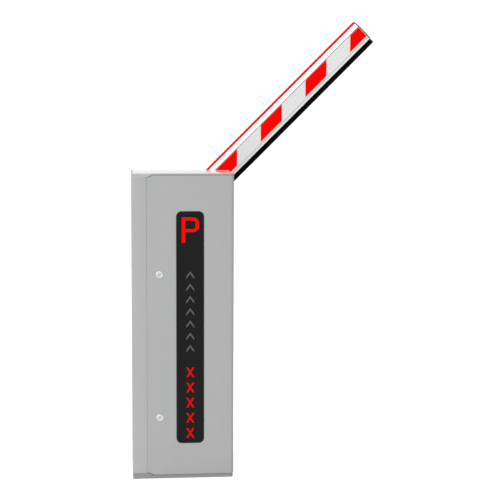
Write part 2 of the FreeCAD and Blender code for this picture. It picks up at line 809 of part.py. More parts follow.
def spring_adjusters():
    screws = []
    for x in (spring_left_x, spring_right_x):
        plug = rod(Z_AXIS, x, hanger_mid, spring_base_z, spring_mean_r - spring_wire_r - clear, 22)
        seat = rod(Z_AXIS, x, hanger_mid, spring_base_z - 3, spring_mean_r + spring_wire_r, 3)
        stud = rod(Z_AXIS, x, hanger_mid, spring_base_z - 45, 4.0, 45)
        nut = hexagon(Z_AXIS, x, hanger_mid, spring_base_z - 12 - anchor_t - 7, 13.0, 7.0)
        screws.append(fuse([plug, seat, stud, nut]))
    return screws


def crank_arm():
    hub = rod(Y_AXIS, 0, lever_y - 2, crank_z, crank_hub_r, lever_t + 4)
    pieces = [hub] + arm(drive_arm, lever_y, lever_t, crank_hub_r, arm_w, crank_z)
    pin = rod(Y_AXIS, drive_arm, rod_y - 4, crank_z, pin_r, lever_y + 4 - rod_y + 4)
    head = rod(Y_AXIS, drive_arm, rod_y - 7, crank_z, pin_r + 3, 5.0)
    return fuse(pieces + [pin, head]).cut(rod(Y_AXIS, 0, lever_y - 10, crank_z, output_r, 50))


def output_shaft():
    shaft = rod(Y_AXIS, 0, lever_y - 3, crank_z, output_r, gear_y0 + 24 - lever_y + 3)
    washer = rod(Y_AXIS, 0, lever_y - 6, crank_z, output_r + 4, 4.0)
    bolt = hexagon(Y_AXIS, 0, lever_y - 11, crank_z, 13.0, 6.0)
    return fuse([shaft, washer, bolt])


def rod_ends():
    ends = []
    mid = rod_y + rod_t / 2
    for z, way in ((crank_z, 1), (pivot_z, -1)):
        eye = rod(Y_AXIS, drive_arm, rod_y, z, eye_r, rod_t)
        neck_z = z + way * 12 if way > 0 else z - 34
        neck = rod(Z_AXIS, drive_arm, mid, neck_z, link_r, 22)
        grip = pin_fit if way > 0 else clear
        nut = hexagon(Z_AXIS, drive_arm, mid, z + 29 if way > 0 else z - 34, 17.0, 5.0)
        ends.append(fuse([eye, neck, nut]).cut(rod(Y_AXIS, drive_arm, rod_y - 1, z, pin_r + grip, rod_t + 2)))
    return ends


def rod_link():
    mid = rod_y + rod_t / 2
    length = pivot_z - crank_z - 68
    body = hexagon(Z_AXIS, drive_arm, mid, crank_z + 34, 16.0, length)
    cross = rod(X_AXIS, drive_arm - 12, mid, crank_z + 34 + length / 2, 2.5, 24)
    return body.cut(cross)


def buffer_rubbers():
    return [ring(Y_AXIS, x, lever_y, z, buffer_r, buffer_stud_r, lever_t) for x, z in buffer_points()]


def limit_cam():
    disc = ring(Y_AXIS, 0, cam_y, pivot_z, cam_r, shaft_r, cam_t)
    notch = box(cam_r - 4, cam_r + 2, cam_y - 1, cam_y + cam_t + 1, pivot_z - 6, pivot_z + 6)
    screw = rod(V(0, 0, 1), 0, cam_y + cam_t / 2, pivot_z + 18, 1.8, 8)
    return cut(disc, [notch, screw])


def limit_switches():
    """Two sealed switches on standoffs beside the cam."""
    switches = []
    for side in (-1, 1):
        x0 = min(side * (cam_r + 5), side * (cam_r + 17))
        case = box(x0, x0 + 12, cam_y - 4, cam_y + 12, pivot_z - 14, pivot_z + 14)
        tip_x = side * (cam_r + 1.0)
        plunger = box(min(tip_x, side * (cam_r + 6)), max(tip_x, side * (cam_r + 6)), cam_y + 2, cam_y + 6,
                      pivot_z - 2, pivot_z + 2)
        foot = box(x0 + 2, x0 + 10, cam_y + 10, frame_front_y, pivot_z - 12, pivot_z + 12)
        foot = foot.cut(rod(Y_AXIS, 0, cam_y, pivot_z, flange_r + 0.5, 40))
        body = fuse([case, plunger, foot])
        switches.append(max(body.Solids, key=lambda s: s.Volume))
    return switches


# ---------------------------------------------------------------- drive

def gearbox_housing():
    body = box(gear_x0, gear_x1, gear_y0, frame_rear_y, gear_z0, gear_z1)
    edges = [e for e in body.Edges if abs(e.tangentAt(e.FirstParameter).y) > 0.99]
    body = body.makeFillet(14.0, edges)
    boss = rod(Y_AXIS, 0, gear_y0 - 8, crank_z, 22.0, 10.0)
    motor_z = crank_z + 5
    snout = rod(X_AXIS, gear_x1 - 6, (gear_y0 + frame_rear_y) / 2, motor_z, 28.0, 10.0)
    ribs = [box(gear_x0 + 14, gear_x1 - 14, gear_y0 + 10 + 14 * k, gear_y0 + 13 + 14 * k, gear_z1 - 1, gear_z1 + 4)
            for k in range(4)]
    bolts = [hexagon(Y_AXIS, x, gear_y0 - 4, z, 10.0, 5.0) for x in (gear_x0 + 13, gear_x1 - 13)
             for z in (gear_z0 + 13, gear_z1 - 13)]
    solid = fuse([body, boss, snout] + ribs + bolts)
    return solid.cut(rod(Y_AXIS, 0, gear_y0 - 20, crank_z, output_r + run_fit, 45 + clear))


def motor():
    y = (gear_y0 + frame_rear_y) / 2
    z = crank_z + 5
    x = gear_x1 + 4
    body = rod(X_AXIS, x, y, z, motor_r, motor_len)
    flange = rod(X_AXIS, x, y, z, motor_r + 1.5, 5)
    fins = []
    for k in range(9):
        a = math.radians(-60 + 37.5 * k)
        fin = box(x + 8, x + motor_len - 14, y + motor_r - 1, y + motor_r + 1.8, z - 1.2, z + 1.2)
        fin.rotate(V(0, y, z), X_AXIS, math.degrees(a))
        fins.append(fin)
    box_body = box(x + 10, x + 50, y - 18, y + 18, z - motor_r - 14, z - motor_r + 8)
    solid = fuse([body, flange, box_body] + fins)
    return solid.cut(rod(X_AXIS, x + motor_len - 12, y, z, 4.0 + run_fit, 13))


def hand_wheel():
    y = (gear_y0 + frame_rear_y) / 2
    z = crank_z + 5
    x = gear_x1 + 4 + motor_len
    stub = rod(X_AXIS, x - 10, y, z, 4.0, 14)
    wheel = rod(X_AXIS, x + 2, y, z, wheel_r, wheel_t)
    scallops = [rod(X_AXIS, x, y + (wheel_r + 3) * math.cos(math.radians(45 * k)),
                    z + (wheel_r + 3) * math.sin(math.radians(45 * k)), 6.5, wheel_t + 4) for k in range(8)]
    return fuse([cut(wheel, scallops), stub])


# ---------------------------------------------------------------- electrics

def electrics_plate():
    plate = box(-panel_half_w, panel_half_w, panel_y, panel_y + panel_t, panel_low, panel_high)
    legs = [box(x - 8, x + 8, panel_y + panel_t, back - sheet, z - 8, z + 8)
            for x in (-panel_half_w + 15, panel_half_w - 15) for z in (panel_low + 15, panel_high - 15)]
    rail_z = breaker_z + breaker_h / 2
    rail = box(-130, 130, panel_y - 7, panel_y, rail_z - 12, rail_z + 12)
    lips = box(-130, 130, panel_y - 7, panel_y - 6, rail_z - 17, rail_z + 17)
    posts = [rod(Y_AXIS, x, pcb_y + board_t, z, 4.0, panel_y - pcb_y - board_t)
             for x in (pcb_x0 + 8, pcb_x1 - 8) for z in (pcb_z0 + 8, pcb_z1 - 8)]
    return fuse([plate, rail, lips] + legs + posts)


def power_supply():
    body = box(-128, -12, supply_y, panel_y, 140, 340)
    slots = []
    for k in range(12):
        z = 165 + 14.0 * k
        slots.append(rounded_xz(-110, -30, z, z + 5, 2.4, supply_y - 1, supply_y + 1.5))
    terminals = box(-120, -20, supply_y - 10, supply_y, 143, 157)
    screws = [rod(Y_AXIS, -114 + 12.5 * k, supply_y - 11, 150, 3.0, 1.0) for k in range(8)]
    return fuse([cut(body, slots), terminals] + screws)


def breaker():
    z0 = breaker_z
    z1 = breaker_z + breaker_h
    rear = panel_y - 7
    body = box(breaker_x, breaker_x + breaker_w, breaker_y + 14, rear, z0, z1)
    nose = box(breaker_x, breaker_x + breaker_w, breaker_y, breaker_y + 15, z0 + 19, z1 - 19)
    well = rod(X_AXIS, breaker_x + 8, breaker_y + 4, (z0 + z1) / 2, toggle_r + 0.5, breaker_w - 16)
    blocks = [box(x, x + 5.8, breaker_y + 30, rear, z0 + 12, z1 - 12) for x in
              [breaker_x + breaker_w + 12 + 6.2 * k for k in range(10)]]
    return [cut(fuse([body, nose]), [well])] + blocks


def breaker_toggle():
    mid = breaker_z + breaker_h / 2
    drum = rod(X_AXIS, breaker_x + 8.4, breaker_y + 4, mid, toggle_r, breaker_w - 16.8)
    stick = box(breaker_x + 8.4, breaker_x + breaker_w - 8.4, breaker_y - 13, breaker_y, mid + 1, mid + 6)
    stick.rotate(V(0, breaker_y + 4, mid), X_AXIS, -20)
    return fuse([drum, stick])


def control_board():
    board = box(pcb_x0, pcb_x1, pcb_y, pcb_y + board_t, pcb_z0, pcb_z1)
    holes = [rod(Y_AXIS, x, pcb_y - 1, z, 1.6, board_t + 2) for x in (pcb_x0 + 8, pcb_x1 - 8)
             for z in (pcb_z0 + 8, pcb_z1 - 8)]
    return cut(board, holes)


def button_points():
    return [(pcb_x0 + 28.0, pcb_z1 - 30.0), (pcb_x0 + 50.0, pcb_z1 - 30.0)]


def control_parts():
    """Relays, terminals, capacitors, chips and the button switch bodies."""
    y = pcb_y
    parts = []
    for k in range(4):
        parts.append(box(pcb_x0 + 12 + 28 * k, pcb_x0 + 31 + 28 * k, y - 16, y, pcb_z0 + 40, pcb_z0 + 68))
    for k in range(10):
        x = pcb_x0 + 16 + 10.0 * k
        block = box(x, x + 9.6, y - 14, y, pcb_z0 + 4, pcb_z0 + 20)
        screw = rod(Y_AXIS, x + 4.8, y - 14.6, pcb_z0 + 12, 2.6, 0.8)
        parts.append(fuse([block, screw]))
    for x, z, r in ((pcb_x0 + 24, pcb_z0 + 100, 9.0), (pcb_x0 + 50, pcb_z0 + 100, 9.0), (pcb_x0 + 76, pcb_z0 + 98, 6.5)):
        parts.append(rod(Y_AXIS, x, y - 24, z, r, 24))
    parts.append(box(pcb_x0 + 45, pcb_x0 + 73, y - 3, y, pcb_z0 + 130, pcb_z0 + 158))
    parts.append(box(pcb_x0 + 92, pcb_x0 + 112, y - 3, y, pcb_z0 + 120, pcb_z0 + 150))
    for x, z in button_points():
        case = box(x - 6, x + 6, y - 5, y, z - 6, z + 6)
        parts.append(case.cut(rod(Y_AXIS, x, y - 6, z, button_r + pin_fit, 4)))
    return parts


def button(x, z):
    shaft = rod(Y_AXIS, x, pcb_y - 9, z, button_r, 9 - 2 - button_travel - 0.4)
    cap = rod(Y_AXIS, x, pcb_y - 10.5, z, button_r + 2, 3.0)
    return fuse([cap, shaft])


def harness():
    """Motor lead: straight down through the shelf, then one bend into its plug on the control board."""
    x, y = cable_point()
    z_top = crank_z + 5 - motor_r - 14
    z_plug = pcb_z1 - 46
    z_bend = z_plug + cable_bend
    drop = rod(Z_AXIS, x, y, z_bend, cable_r, z_top - 5 - z_bend)
    face = Part.Face(Part.Wire([Part.Circle(V(x, y, z_bend), Z_AXIS, cable_r).toShape()]))
    bend = face.revolve(V(x, y + cable_bend, z_bend), X_AXIS, 90)
    run = rod(Y_AXIS, x, y + cable_bend, z_plug, cable_r, pcb_y - 5 - y - cable_bend)
    gland = rod(Z_AXIS, x, y, z_top - 10, 8.0, 10)
    plug = box(x - 8, x + 8, pcb_y - 10, pcb_y, z_plug - 8, z_plug + 8)
    return fuse([drop, bend, run, gland, plug])


# ---------------------------------------------------------------- boom

def boom_section(grow, s0, s1):
    """Solid octagonal bar along +X, drawn at the level rest of its own frame."""
    half = boom_half_h + grow
    flat = boom_flat + grow * 0.4
    y0 = boom_y - grow
    y1 = boom_y + boom_depth + grow
    pts = [(-flat, y0), (flat, y0), (half, boom_y + boom_facet), (half, boom_y + boom_depth - boom_facet),
           (flat, y1), (-flat, y1), (-half, boom_y + boom_depth - boom_facet), (-half, boom_y + boom_facet)]
    loop = [V(s0, y, pivot_z + n) for n, y in pts]
    loop.append(loop[0])
    return Part.Face(Part.makePolygon(loop)).extrude(V(s1 - s0, 0, 0))


def boom_cavity(s0, s1):
    slope = boom_facet / (boom_half_h - boom_flat)
    skew = boom_wall * math.sqrt(1 + slope * slope)
    flat = boom_flat + (boom_wall - skew) / slope
    side = (boom_web - boom_flat) * slope + skew
    y0 = boom_y
    y1 = boom_y + boom_depth
    pts = [(-flat, y0 + boom_wall), (flat, y0 + boom_wall), (boom_web, y0 + side), (boom_web, y1 - side),
           (flat, y1 - boom_wall), (-flat, y1 - boom_wall), (-boom_web, y1 - side), (-boom_web, y0 + side)]
    loop = [V(s0, y, pivot_z + n) for n, y in pts]
    loop.append(loop[0])
    return Part.Face(Part.makePolygon(loop)).extrude(V(s1 - s0, 0, 0))


def groove(side, s0, s1, gap):
    mid = boom_y + boom_depth / 2
    n0 = boom_half_h - groove_d if side > 0 else -boom_half_h - 1
    return box(s0, s1, mid - groove_w / 2 - gap, mid + groove_w / 2 + gap, pivot_z + n0, pivot_z + n0 + groove_d + 1)


def boom_profile():
    s0 = boom_tail + cap_t
    s1 = boom_tip - cap_t
    bar = boom_section(0, s0, s1).cut(boom_cavity(s0 - 1, s1 + 1))
    return boom_frame(cut(bar, [groove(1, s0 - 1, s1 + 1, 0), groove(-1, s0 - 1, s1 + 1, 0)]))


def boom_light_strip():
    mid = boom_y + boom_depth / 2
    s1 = boom_tip - cap_t
    top = box(edge_start, s1, mid - strip_w / 2, mid + strip_w / 2, pivot_z + boom_half_h,
              pivot_z + boom_half_h + strip_h)
    edges = [e for e in top.Edges if abs(e.tangentAt(e.FirstParameter).x) > 0.99
             and e.CenterOfMass.z > pivot_z + boom_half_h + 1]
    top = top.makeFillet(2.5, edges)
    foot = box(edge_start, s1, mid - groove_w / 2 + 0.1, mid + groove_w / 2 - 0.1,
               pivot_z + boom_half_h - groove_d + 0.1, pivot_z + boom_half_h + 1)
    return boom_frame(fuse([top, foot]))


def boom_rubber_edge():
    """Soft edge with a hollow core under the boom."""
    mid = boom_y + boom_depth / 2
    s1 = boom_tip - cap_t
    low = pivot_z - boom_half_h - rubber_h
    body = box(edge_start, s1, mid - rubber_w / 2, mid + rubber_w / 2, low, pivot_z - boom_half_h)
    edges = [e for e in body.Edges if abs(e.tangentAt(e.FirstParameter).x) > 0.99 and e.CenterOfMass.z < low + 1]
    body = body.makeFillet(6.0, edges)
    foot = box(edge_start, s1, mid - groove_w / 2 + 0.1, mid + groove_w / 2 - 0.1, pivot_z - boom_half_h - 1,
               pivot_z - boom_half_h + groove_d - 0.9)
    core = box(edge_start - 1, s1 + 1, mid - 6, mid + 6, low + 3, low + 8)
    return boom_frame(cut(fuse([body, foot]), [core]))


def boom_end_caps():
    mid = boom_y + boom_depth / 2
    caps = []
    for s0, s1, plug0, plug1 in ((boom_tip - cap_t, boom_tip, boom_tip - cap_t - 12, boom_tip - cap_t),
                                 (boom_tail, boom_tail + cap_t, boom_tail + cap_t, boom_tail + cap_t + 12)):
        cap = boom_section(0, s0, s1)
        plug = box(plug0 - 0.5, plug1 + 0.5, mid - 12, mid + 12, pivot_z - boom_web + 3, pivot_z + boom_web - 3)
        extra = []
        if s1 == boom_tip:
            extra.append(box(s0, s1, mid - strip_w / 2, mid + strip_w / 2, pivot_z + boom_half_h - 2,
                             pivot_z + boom_half_h + strip_h))
            extra.append(box(s0, s1, mid - rubber_w / 2, mid + rubber_w / 2,
                             pivot_z - boom_half_h - rubber_h, pivot_z - boom_half_h + 2))
        caps.append(boom_frame(fuse([cap, plug] + extra)))
    return caps


def boom_reflectors():
    """Slanted warning films on both flats; their ends stand upright at the rest angle."""
    films = []
    limit = boom_section(5, boom_tail, boom_tip - cap_t - 1)
    for y0 in (boom_y - reflector_t, boom_y + boom_depth):
        for k in range(reflector_count):
            s0 = reflector_start + reflector_pitch * k - boom_flat
            h = boom_flat
            pts = [(s0, pivot_z - h), (s0 + reflector_len, pivot_z - h), (s0 + reflector_len + 2 * h, pivot_z + h),
                   (s0 + 2 * h, pivot_z + h)]
            film = poly_xz(pts, y0, reflector_t)
            clip = box(boom_tail, boom_tip - cap_t - 1, y0 - 1, y0 + 2, pivot_z - 60, pivot_z + 60)
            films.append(boom_frame(film.common(clip)))
    return films


def boom_hub():
    disc = rod(Y_AXIS, 0, boom_y - cradle_t - 10, pivot_z, hub_r, 10)
    boss = rod(Y_AXIS, 0, back + 1.5, pivot_z, 28.0, boom_y - cradle_t - back - 1.5)
    return fuse([disc, boss]).cut(rod(Y_AXIS, 0, back, pivot_z, shaft_r, boom_y - cradle_t - back - 2))


def clamp_points():
    return [(s, n) for s in (clamp_s0, clamp_s1) for n in (-clamp_bolt_n, clamp_bolt_n)]


def boom_cradle():
    """Plate with folded lips that the boom lies in."""
    lip_gap = 0.4
    y1 = boom_y + 26
    plate = box(cradle_s0, cradle_s1, boom_y - cradle_t, boom_y, pivot_z - cradle_half_h, pivot_z + cradle_half_h)
    edges = [e for e in plate.Edges if abs(e.tangentAt(e.FirstParameter).y) > 0.99]
    plate = plate.makeFillet(12.0, edges)
    lips = []
    for side in (-1, 1):
        n0 = side * (boom_half_h + lip_gap)
        n1 = side * (boom_half_h + lip_gap + 4)
        lips.append(box(cradle_s0 + 25, cradle_s1 - 12, boom_y - 1, y1, pivot_z + min(n0, n1), pivot_z + max(n0, n1)))
    body = fuse([plate] + lips)
    holes = [rod(Y_AXIS, s, boom_y - cradle_t - 1, pivot_z + n, clamp_bolt_r + 0.3, cradle_t + 2)
             for s, n in clamp_points()]
    return boom_frame(cut(body, holes))


def boom_clamp_plate():
    y0 = boom_y + boom_depth + reflector_t
    plate = box(clamp_s0 - 14, clamp_s1 + 14, y0, y0 + clamp_t, pivot_z - cradle_half_h, pivot_z + cradle_half_h)
    edges = [e for e in plate.Edges if abs(e.tangentAt(e.FirstParameter).y) > 0.99]
    plate = plate.makeFillet(10.0, edges)
    rib = box(clamp_s0, clamp_s1, y0 + clamp_t - 1, y0 + clamp_t + 6, pivot_z - 3, pivot_z + 3)
    holes = [rod(Y_AXIS, s, y0 - 1, pivot_z + n, clamp_bolt_r + 0.3, clamp_t + 2) for s, n in clamp_points()]
    return boom_frame(cut(fuse([plate, rib]), holes))


def boom_clamp_bolts():
    """Bolts with their nuts run on, one solid each."""
    y0 = boom_y - cradle_t
    y1 = boom_y + boom_depth + reflector_t + clamp_t
    bolts = []
    for s, n in clamp_points():
        shank = rod(Y_AXIS, s, y0 - 1, pivot_z + n, clamp_bolt_r, y1 - y0 + 12)
        head = hexagon(Y_AXIS, s, y0 - 5, pivot_z + n, 13.0, 5.0)
        nut = hexagon(Y_AXIS, s, y1, pivot_z + n, 13.0, 6.5)
        bolts.append(boom_frame(fuse([shank, head, nut])))
    return bolts


def main():
    save("base_plate", base_plate())
    save("plinth", plinth())
    save("cabinet_shell", cabinet_shell())
    save("top_lid", top_lid())
    save("lid_screws", lid_screws())
    save("door_frame", door_frame())
    save("door_hinge_pins", door_hinge_pins())
    save("door_panel", door_panel())
    save("door_gasket", door_gasket())
    save("lock_bodies", lock_bodies())
    save("lock_core_lower", lock_core(lock_low_z, True))
    save("lock_core_upper", lock_core(lock_high_z, False))
    save("display_face", display_face())
    save("sign_p", p_outline(0))
    save("sign_crosses", [cross_solid(z, 0) for z in cross_levels()])
    save("sign_chevrons", [chevron_solid(z, 0) for z in chevron_levels()])
    save("display_housing", display_housing())
    save("display_rear_cover", display_rear_cover())
    save("display_board", display_board())
    save("mech_frame", mech_frame())
    save("frame_brackets", frame_brackets())
    save("bearing_housings", bearing_housings())
    save("bearing_bushes", bearing_bushes())
    save("main_shaft", main_shaft())
    save("rocker_lever", rocker_lever())
    save("lever_pins", lever_pins())
    save("spring_hanger", spring_hanger())
    save("guide_rods", guide_rods())
    save("balance_springs", balance_springs())
    save("spring_plugs", spring_plugs())
    save("spring_adjusters", spring_adjusters())
    save("crank_arm", crank_arm())
    save("output_shaft", output_shaft())
    save("rod_ends", rod_ends())
    save("rod_link", rod_link())
    save("buffer_rubbers", buffer_rubbers())
    save("limit_cam", limit_cam())
    save("limit_switches", limit_switches())
    save("gearbox_housing", gearbox_housing())
    save("motor", motor())
    save("hand_wheel", hand_wheel())
    save("electrics_plate", electrics_plate())
    save("power_supply", power_supply())
    save("breaker", breaker()[0])
    save("terminal_blocks", breaker()[1:])
    save("breaker_toggle", breaker_toggle())
    save("control_board", control_board())
    save("control_parts", control_parts())
    save("button_open", button(*button_points()[0]))
    save("button_close", button(*button_points()[1]))
    save("harness", harness())
    save("boom_hub", boom_hub())
    save("boom_cradle", boom_cradle())
    save("boom_clamp_plate", boom_clamp_plate())
    save("boom_clamp_bolts", boom_clamp_bolts())
    save("boom_profile", boom_profile())
    save("boom_light_strip", boom_light_strip())
    save("boom_rubber_edge", boom_rubber_edge())
    save("boom_end_caps", boom_end_caps())
    save("boom_reflectors", boom_reflectors())


main()
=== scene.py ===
"""Parking barrier gate: looks built round the fixed model."""
import json
import math

import bmesh
import bpy
import numpy as np
from bpy.props import FloatProperty, FloatVectorProperty, PointerProperty
from mathutils import Euler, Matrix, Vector


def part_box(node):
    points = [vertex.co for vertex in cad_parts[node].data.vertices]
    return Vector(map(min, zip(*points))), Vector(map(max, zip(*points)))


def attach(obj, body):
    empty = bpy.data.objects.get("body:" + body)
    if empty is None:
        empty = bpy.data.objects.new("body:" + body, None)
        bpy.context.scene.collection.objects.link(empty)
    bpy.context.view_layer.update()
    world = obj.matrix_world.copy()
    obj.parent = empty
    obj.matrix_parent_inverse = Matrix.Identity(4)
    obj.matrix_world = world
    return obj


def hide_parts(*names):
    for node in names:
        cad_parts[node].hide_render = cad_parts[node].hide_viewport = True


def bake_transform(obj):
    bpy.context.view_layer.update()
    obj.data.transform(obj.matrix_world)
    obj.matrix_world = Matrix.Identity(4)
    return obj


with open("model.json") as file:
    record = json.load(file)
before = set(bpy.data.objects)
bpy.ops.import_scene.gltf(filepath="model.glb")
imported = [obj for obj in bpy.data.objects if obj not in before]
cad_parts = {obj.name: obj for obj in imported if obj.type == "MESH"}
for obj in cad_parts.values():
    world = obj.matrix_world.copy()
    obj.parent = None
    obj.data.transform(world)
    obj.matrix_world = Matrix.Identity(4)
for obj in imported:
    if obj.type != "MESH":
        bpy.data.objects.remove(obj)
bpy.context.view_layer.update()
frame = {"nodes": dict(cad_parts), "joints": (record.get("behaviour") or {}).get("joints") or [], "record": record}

bl_info = {
    "name": "Parking barrier gate",
    "version": (1, 0, 0),
    "blender": (4, 5, 0),
    "location": "View3D > Sidebar > Barrier gate",
    "description": "Builds the surfaces, finishes and studio of a parking barrier gate",
    "category": "Object",
}

SLOT_OF = {row["node"]: row["material_slot"] for row in frame["record"]["subparts"]}
JOINTS = {joint["name"]: joint for joint in frame["joints"]}
PIVOT = np.array(JOINTS["boom_pivot"]["pos_m"], float)
REST_ANGLE = math.radians(45)
ALONG = np.array([math.cos(REST_ANGLE), 0.0, math.sin(REST_ANGLE)])
ACROSS = np.array([-math.sin(REST_ANGLE), 0.0, math.cos(REST_ANGLE)])
BOOM_HEEL = -0.060
BOOM_TIP = 0.926
FILM_SPAN = np.linspace(0.02, 0.9255, 40)
FOOT_HALF = 0.0038
FOOT_DEEP = 0.0028


# ------------------------------------------------------------------ settings

def colour(name, text, value):
    return FloatVectorProperty(name=name, description=text, default=value, size=3, subtype="COLOR",
                               min=0.0, max=1.0)


def length(name, text, value):
    return FloatProperty(name=name, description=text, default=value, unit="LENGTH", subtype="DISTANCE",
                         min=0.0)


def amount(name, text, value):
    return FloatProperty(name=name, description=text, default=value, min=0.0)


class BARRIER_PG_cabinet(bpy.types.PropertyGroup):
    body: colour("Body", "Powder coat of the shell and the corner column", (0.420, 0.425, 0.421))
    # Painted shade: the door's grey is set a little darker than the body's to stand in for its different angle to
    # the light.
    door: colour("Door", "Powder coat of the door, set darker than the body as painted shade", (0.404, 0.411, 0.407))
    # Painted shade: the skirt's grey is set darker than the body to stand in for the shade in its recess under the
    # door.
    plinth: colour("Plinth", "Powder coat of the recessed skirt, darkened as painted shade", (0.275, 0.280, 0.278))
    lid: colour("Lid", "Gloss coat of the top lid", (0.74, 0.77, 0.77))
    edge: length("Edge radius", "Rounding of folded sheet edges", 0.0007)


class BARRIER_PG_display(bpy.types.PropertyGroup):
    face: colour("Face", "Satin black face plate", (0.0092, 0.0092, 0.0092))
    lit: colour("Lit signs", "Colour of the P and the crosses", (1.0, 0.0, 0.0))
    unlit: colour("Unlit signs", "Colour of the arrow heads", (0.118, 0.118, 0.125))
    glow: amount("Glow", "Strength of the lit signs", 0.3)
    rim: length("Rim", "Width of the seal round the face", 0.0022)


class BARRIER_PG_boom(bpy.types.PropertyGroup):
    coat: colour("Coat", "White coat of the extrusion", (0.94, 0.94, 0.94))
    band: colour("Band", "Pale film on the flat", (0.755, 0.76, 0.76))
    film: colour("Film", "Red warning film", (0.95, 0.0, 0.0))
    rubber: colour("Rubber", "Soft lower edge", (0.0015, 0.0015, 0.0015))
    half_height: length("Half height", "Half the height of the extrusion", 0.0385)
    flat: length("Half flat", "Half the height of the flat face", 0.0210)
    facet: length("Facet depth", "How far the facets fall back", 0.010)
    depth: length("Depth", "Front to back", 0.045)
    # Painted shadow: the boom's grey film strips stand in for the shade of the groove above each flat and of a
    # seam low on the lower facet; this sets their width.
    line: length("Groove shadow width", "Width of the grey strips painted as groove shadow on the facets", 0.0027)
    # Painted shade: the pale film carried down the lower facet darkens a facet that faces down, away from the
    # light.
    lower_shade_reach: length("Lower facet shade", "How far the pale film, painted shade of the lower facet, reaches down it", 0.0280)
    corner: length("Corner radius", "Rounding of the extrusion's corners", 0.0014)
    start: length("Strip start", "Where the light strip and the soft edge begin", 0.156)


class BARRIER_PG_stage(bpy.types.PropertyGroup):
    floor: length("Floor", "Half width of the floor", 30.0)
    lens: FloatProperty(name="Lens", description="Camera lens", default=90.81, unit="CAMERA", min=1.0)
    ambient: amount("Ambient", "Light given by the surroundings", 0.865)
    lean: FloatProperty(name="Lean", description="How much brighter the left is than the right",
                        default=0.9, min=0.0, max=1.0)
    backdrop: amount("Backdrop", "Brightness of the white backdrop", 1.05)


# ------------------------------------------------------------------ mesh helpers

def new_object(name, points, faces, smooth=35.0):
    """Object from a vertex array and a face list, shaded smooth between edges sharper than the angle."""
    mesh = bpy.data.meshes.new(name)
    mesh.from_pydata(np.asarray(points, float).tolist(), [], [list(map(int, f)) for f in faces])
    mesh.validate()
    mesh.shade_smooth()
    mesh.set_sharp_from_angle(angle=math.radians(smooth))
    obj = bpy.data.objects.new(name, mesh)
    bpy.context.scene.collection.objects.link(obj)
    return obj


def outward(obj, merge=1e-7):
    """Merges doubles and turns every face outwards."""
    work = bmesh.new()
    work.from_mesh(obj.data)
    bmesh.ops.remove_doubles(work, verts=work.verts, dist=merge)
    bmesh.ops.recalc_face_normals(work, faces=work.faces)
    work.to_mesh(obj.data)
    work.free()
    return obj


def grid_faces(rows, cols, wrap_rows=False, wrap_cols=False):
    """Quads of a rows x cols grid, closed round either way."""
    i = np.arange(rows if wrap_rows else rows - 1)
    j = np.arange(cols if wrap_cols else cols - 1)
    i, j = np.meshgrid(i, j, indexing="ij")
    i2 = (i + 1) % rows
    j2 = (j + 1) % cols
    quads = np.stack([i * cols + j, i2 * cols + j, i2 * cols + j2, i * cols + j2], axis=-1)
    return quads.reshape(-1, 4).tolist()


def rounded_loop(corners, radius, steps=4):
    """Closed profile with arcs in its corners: each arc is centred where lines parallel to both sides meet.

    A point of the arc is centre + radius * (cos a, sin a), with a running between the two side normals.
    """
    pts = np.asarray(corners, float)
    before = np.roll(pts, 1, axis=0) - pts
    after = np.roll(pts, -1, axis=0) - pts
    u = before / np.linalg.norm(before, axis=1, keepdims=True)
    v = after / np.linalg.norm(after, axis=1, keepdims=True)
    radii = np.broadcast_to(np.asarray(radius, float), (len(pts),))
    half = 0.5 * np.arccos(np.clip((u * v).sum(axis=1), -1, 1))
    reach = radii / np.tan(half)
    middle = u + v
    middle /= np.linalg.norm(middle, axis=1, keepdims=True)
    centre = pts + middle * (radii / np.sin(half))[:, None]
    start = pts + u * reach[:, None] - centre
    end = pts + v * reach[:, None] - centre
    a0 = np.arctan2(start[:, 1], start[:, 0])
    turn = np.arctan2(end[:, 1], end[:, 0]) - a0
    turn = (turn + np.pi) % (2 * np.pi) - np.pi
    t = np.linspace(0, 1, steps)
    angle = a0[:, None] + turn[:, None] * t[None, :]
    arc = centre[:, None, :] + radii[:, None, None] * np.stack([np.cos(angle), np.sin(angle)], axis=-1)
    return arc.reshape(-1, 2)


def carried(name, profile, stations, place, smooth=35.0):
    """A closed profile carried along stations, with both ends closed.

    The point (i, j) is place(stations[i], profile[j]).
    """
    profile = np.asarray(profile, float)
    stations = np.asarray(stations, float)
    count = len(profile)
    s = np.repeat(stations, count)
    p = np.tile(profile, (len(stations), 1))
    points = place(s, p)
    faces = grid_faces(len(stations), count, wrap_cols=True)
    faces.append(list(range(count))[::-1])
    last = (len(stations) - 1) * count
    faces.append([last + k for k in range(count)])
    return outward(new_object(name, points, faces, smooth))


def boom_place(s, p):
    """Boom frame to row frame: pivot + s * along + n * across, with y kept."""
    base = np.array([PIVOT[0], 0.0, PIVOT[2]])
    points = base + s[:, None] * ALONG + p[:, :1] * ACROSS
    points[:, 1] = p[:, 1]
    return points


def turned(name, profile, centre, sides):
    """Profile of (radius, height) turned about the y axis through centre.

    The point (i, j) is centre + r_i * (cos a_j, sin a_j) in x and z, and h_i in y.
    """
    profile = np.asarray(profile, float)
    angle = np.linspace(0, 2 * np.pi, sides, endpoint=False)
    r, a = np.meshgrid(profile[:, 0], angle, indexing="ij")
    h = np.repeat(profile[:, 1], sides).reshape(r.shape)
    points = np.stack([r * np.cos(a), h, r * np.sin(a)], axis=-1).reshape(-1, 3) + np.asarray(centre, float)
    faces = grid_faces(len(profile), sides, wrap_cols=True)
    return outward(new_object(name, points, faces, 30.0), merge=1e-6)


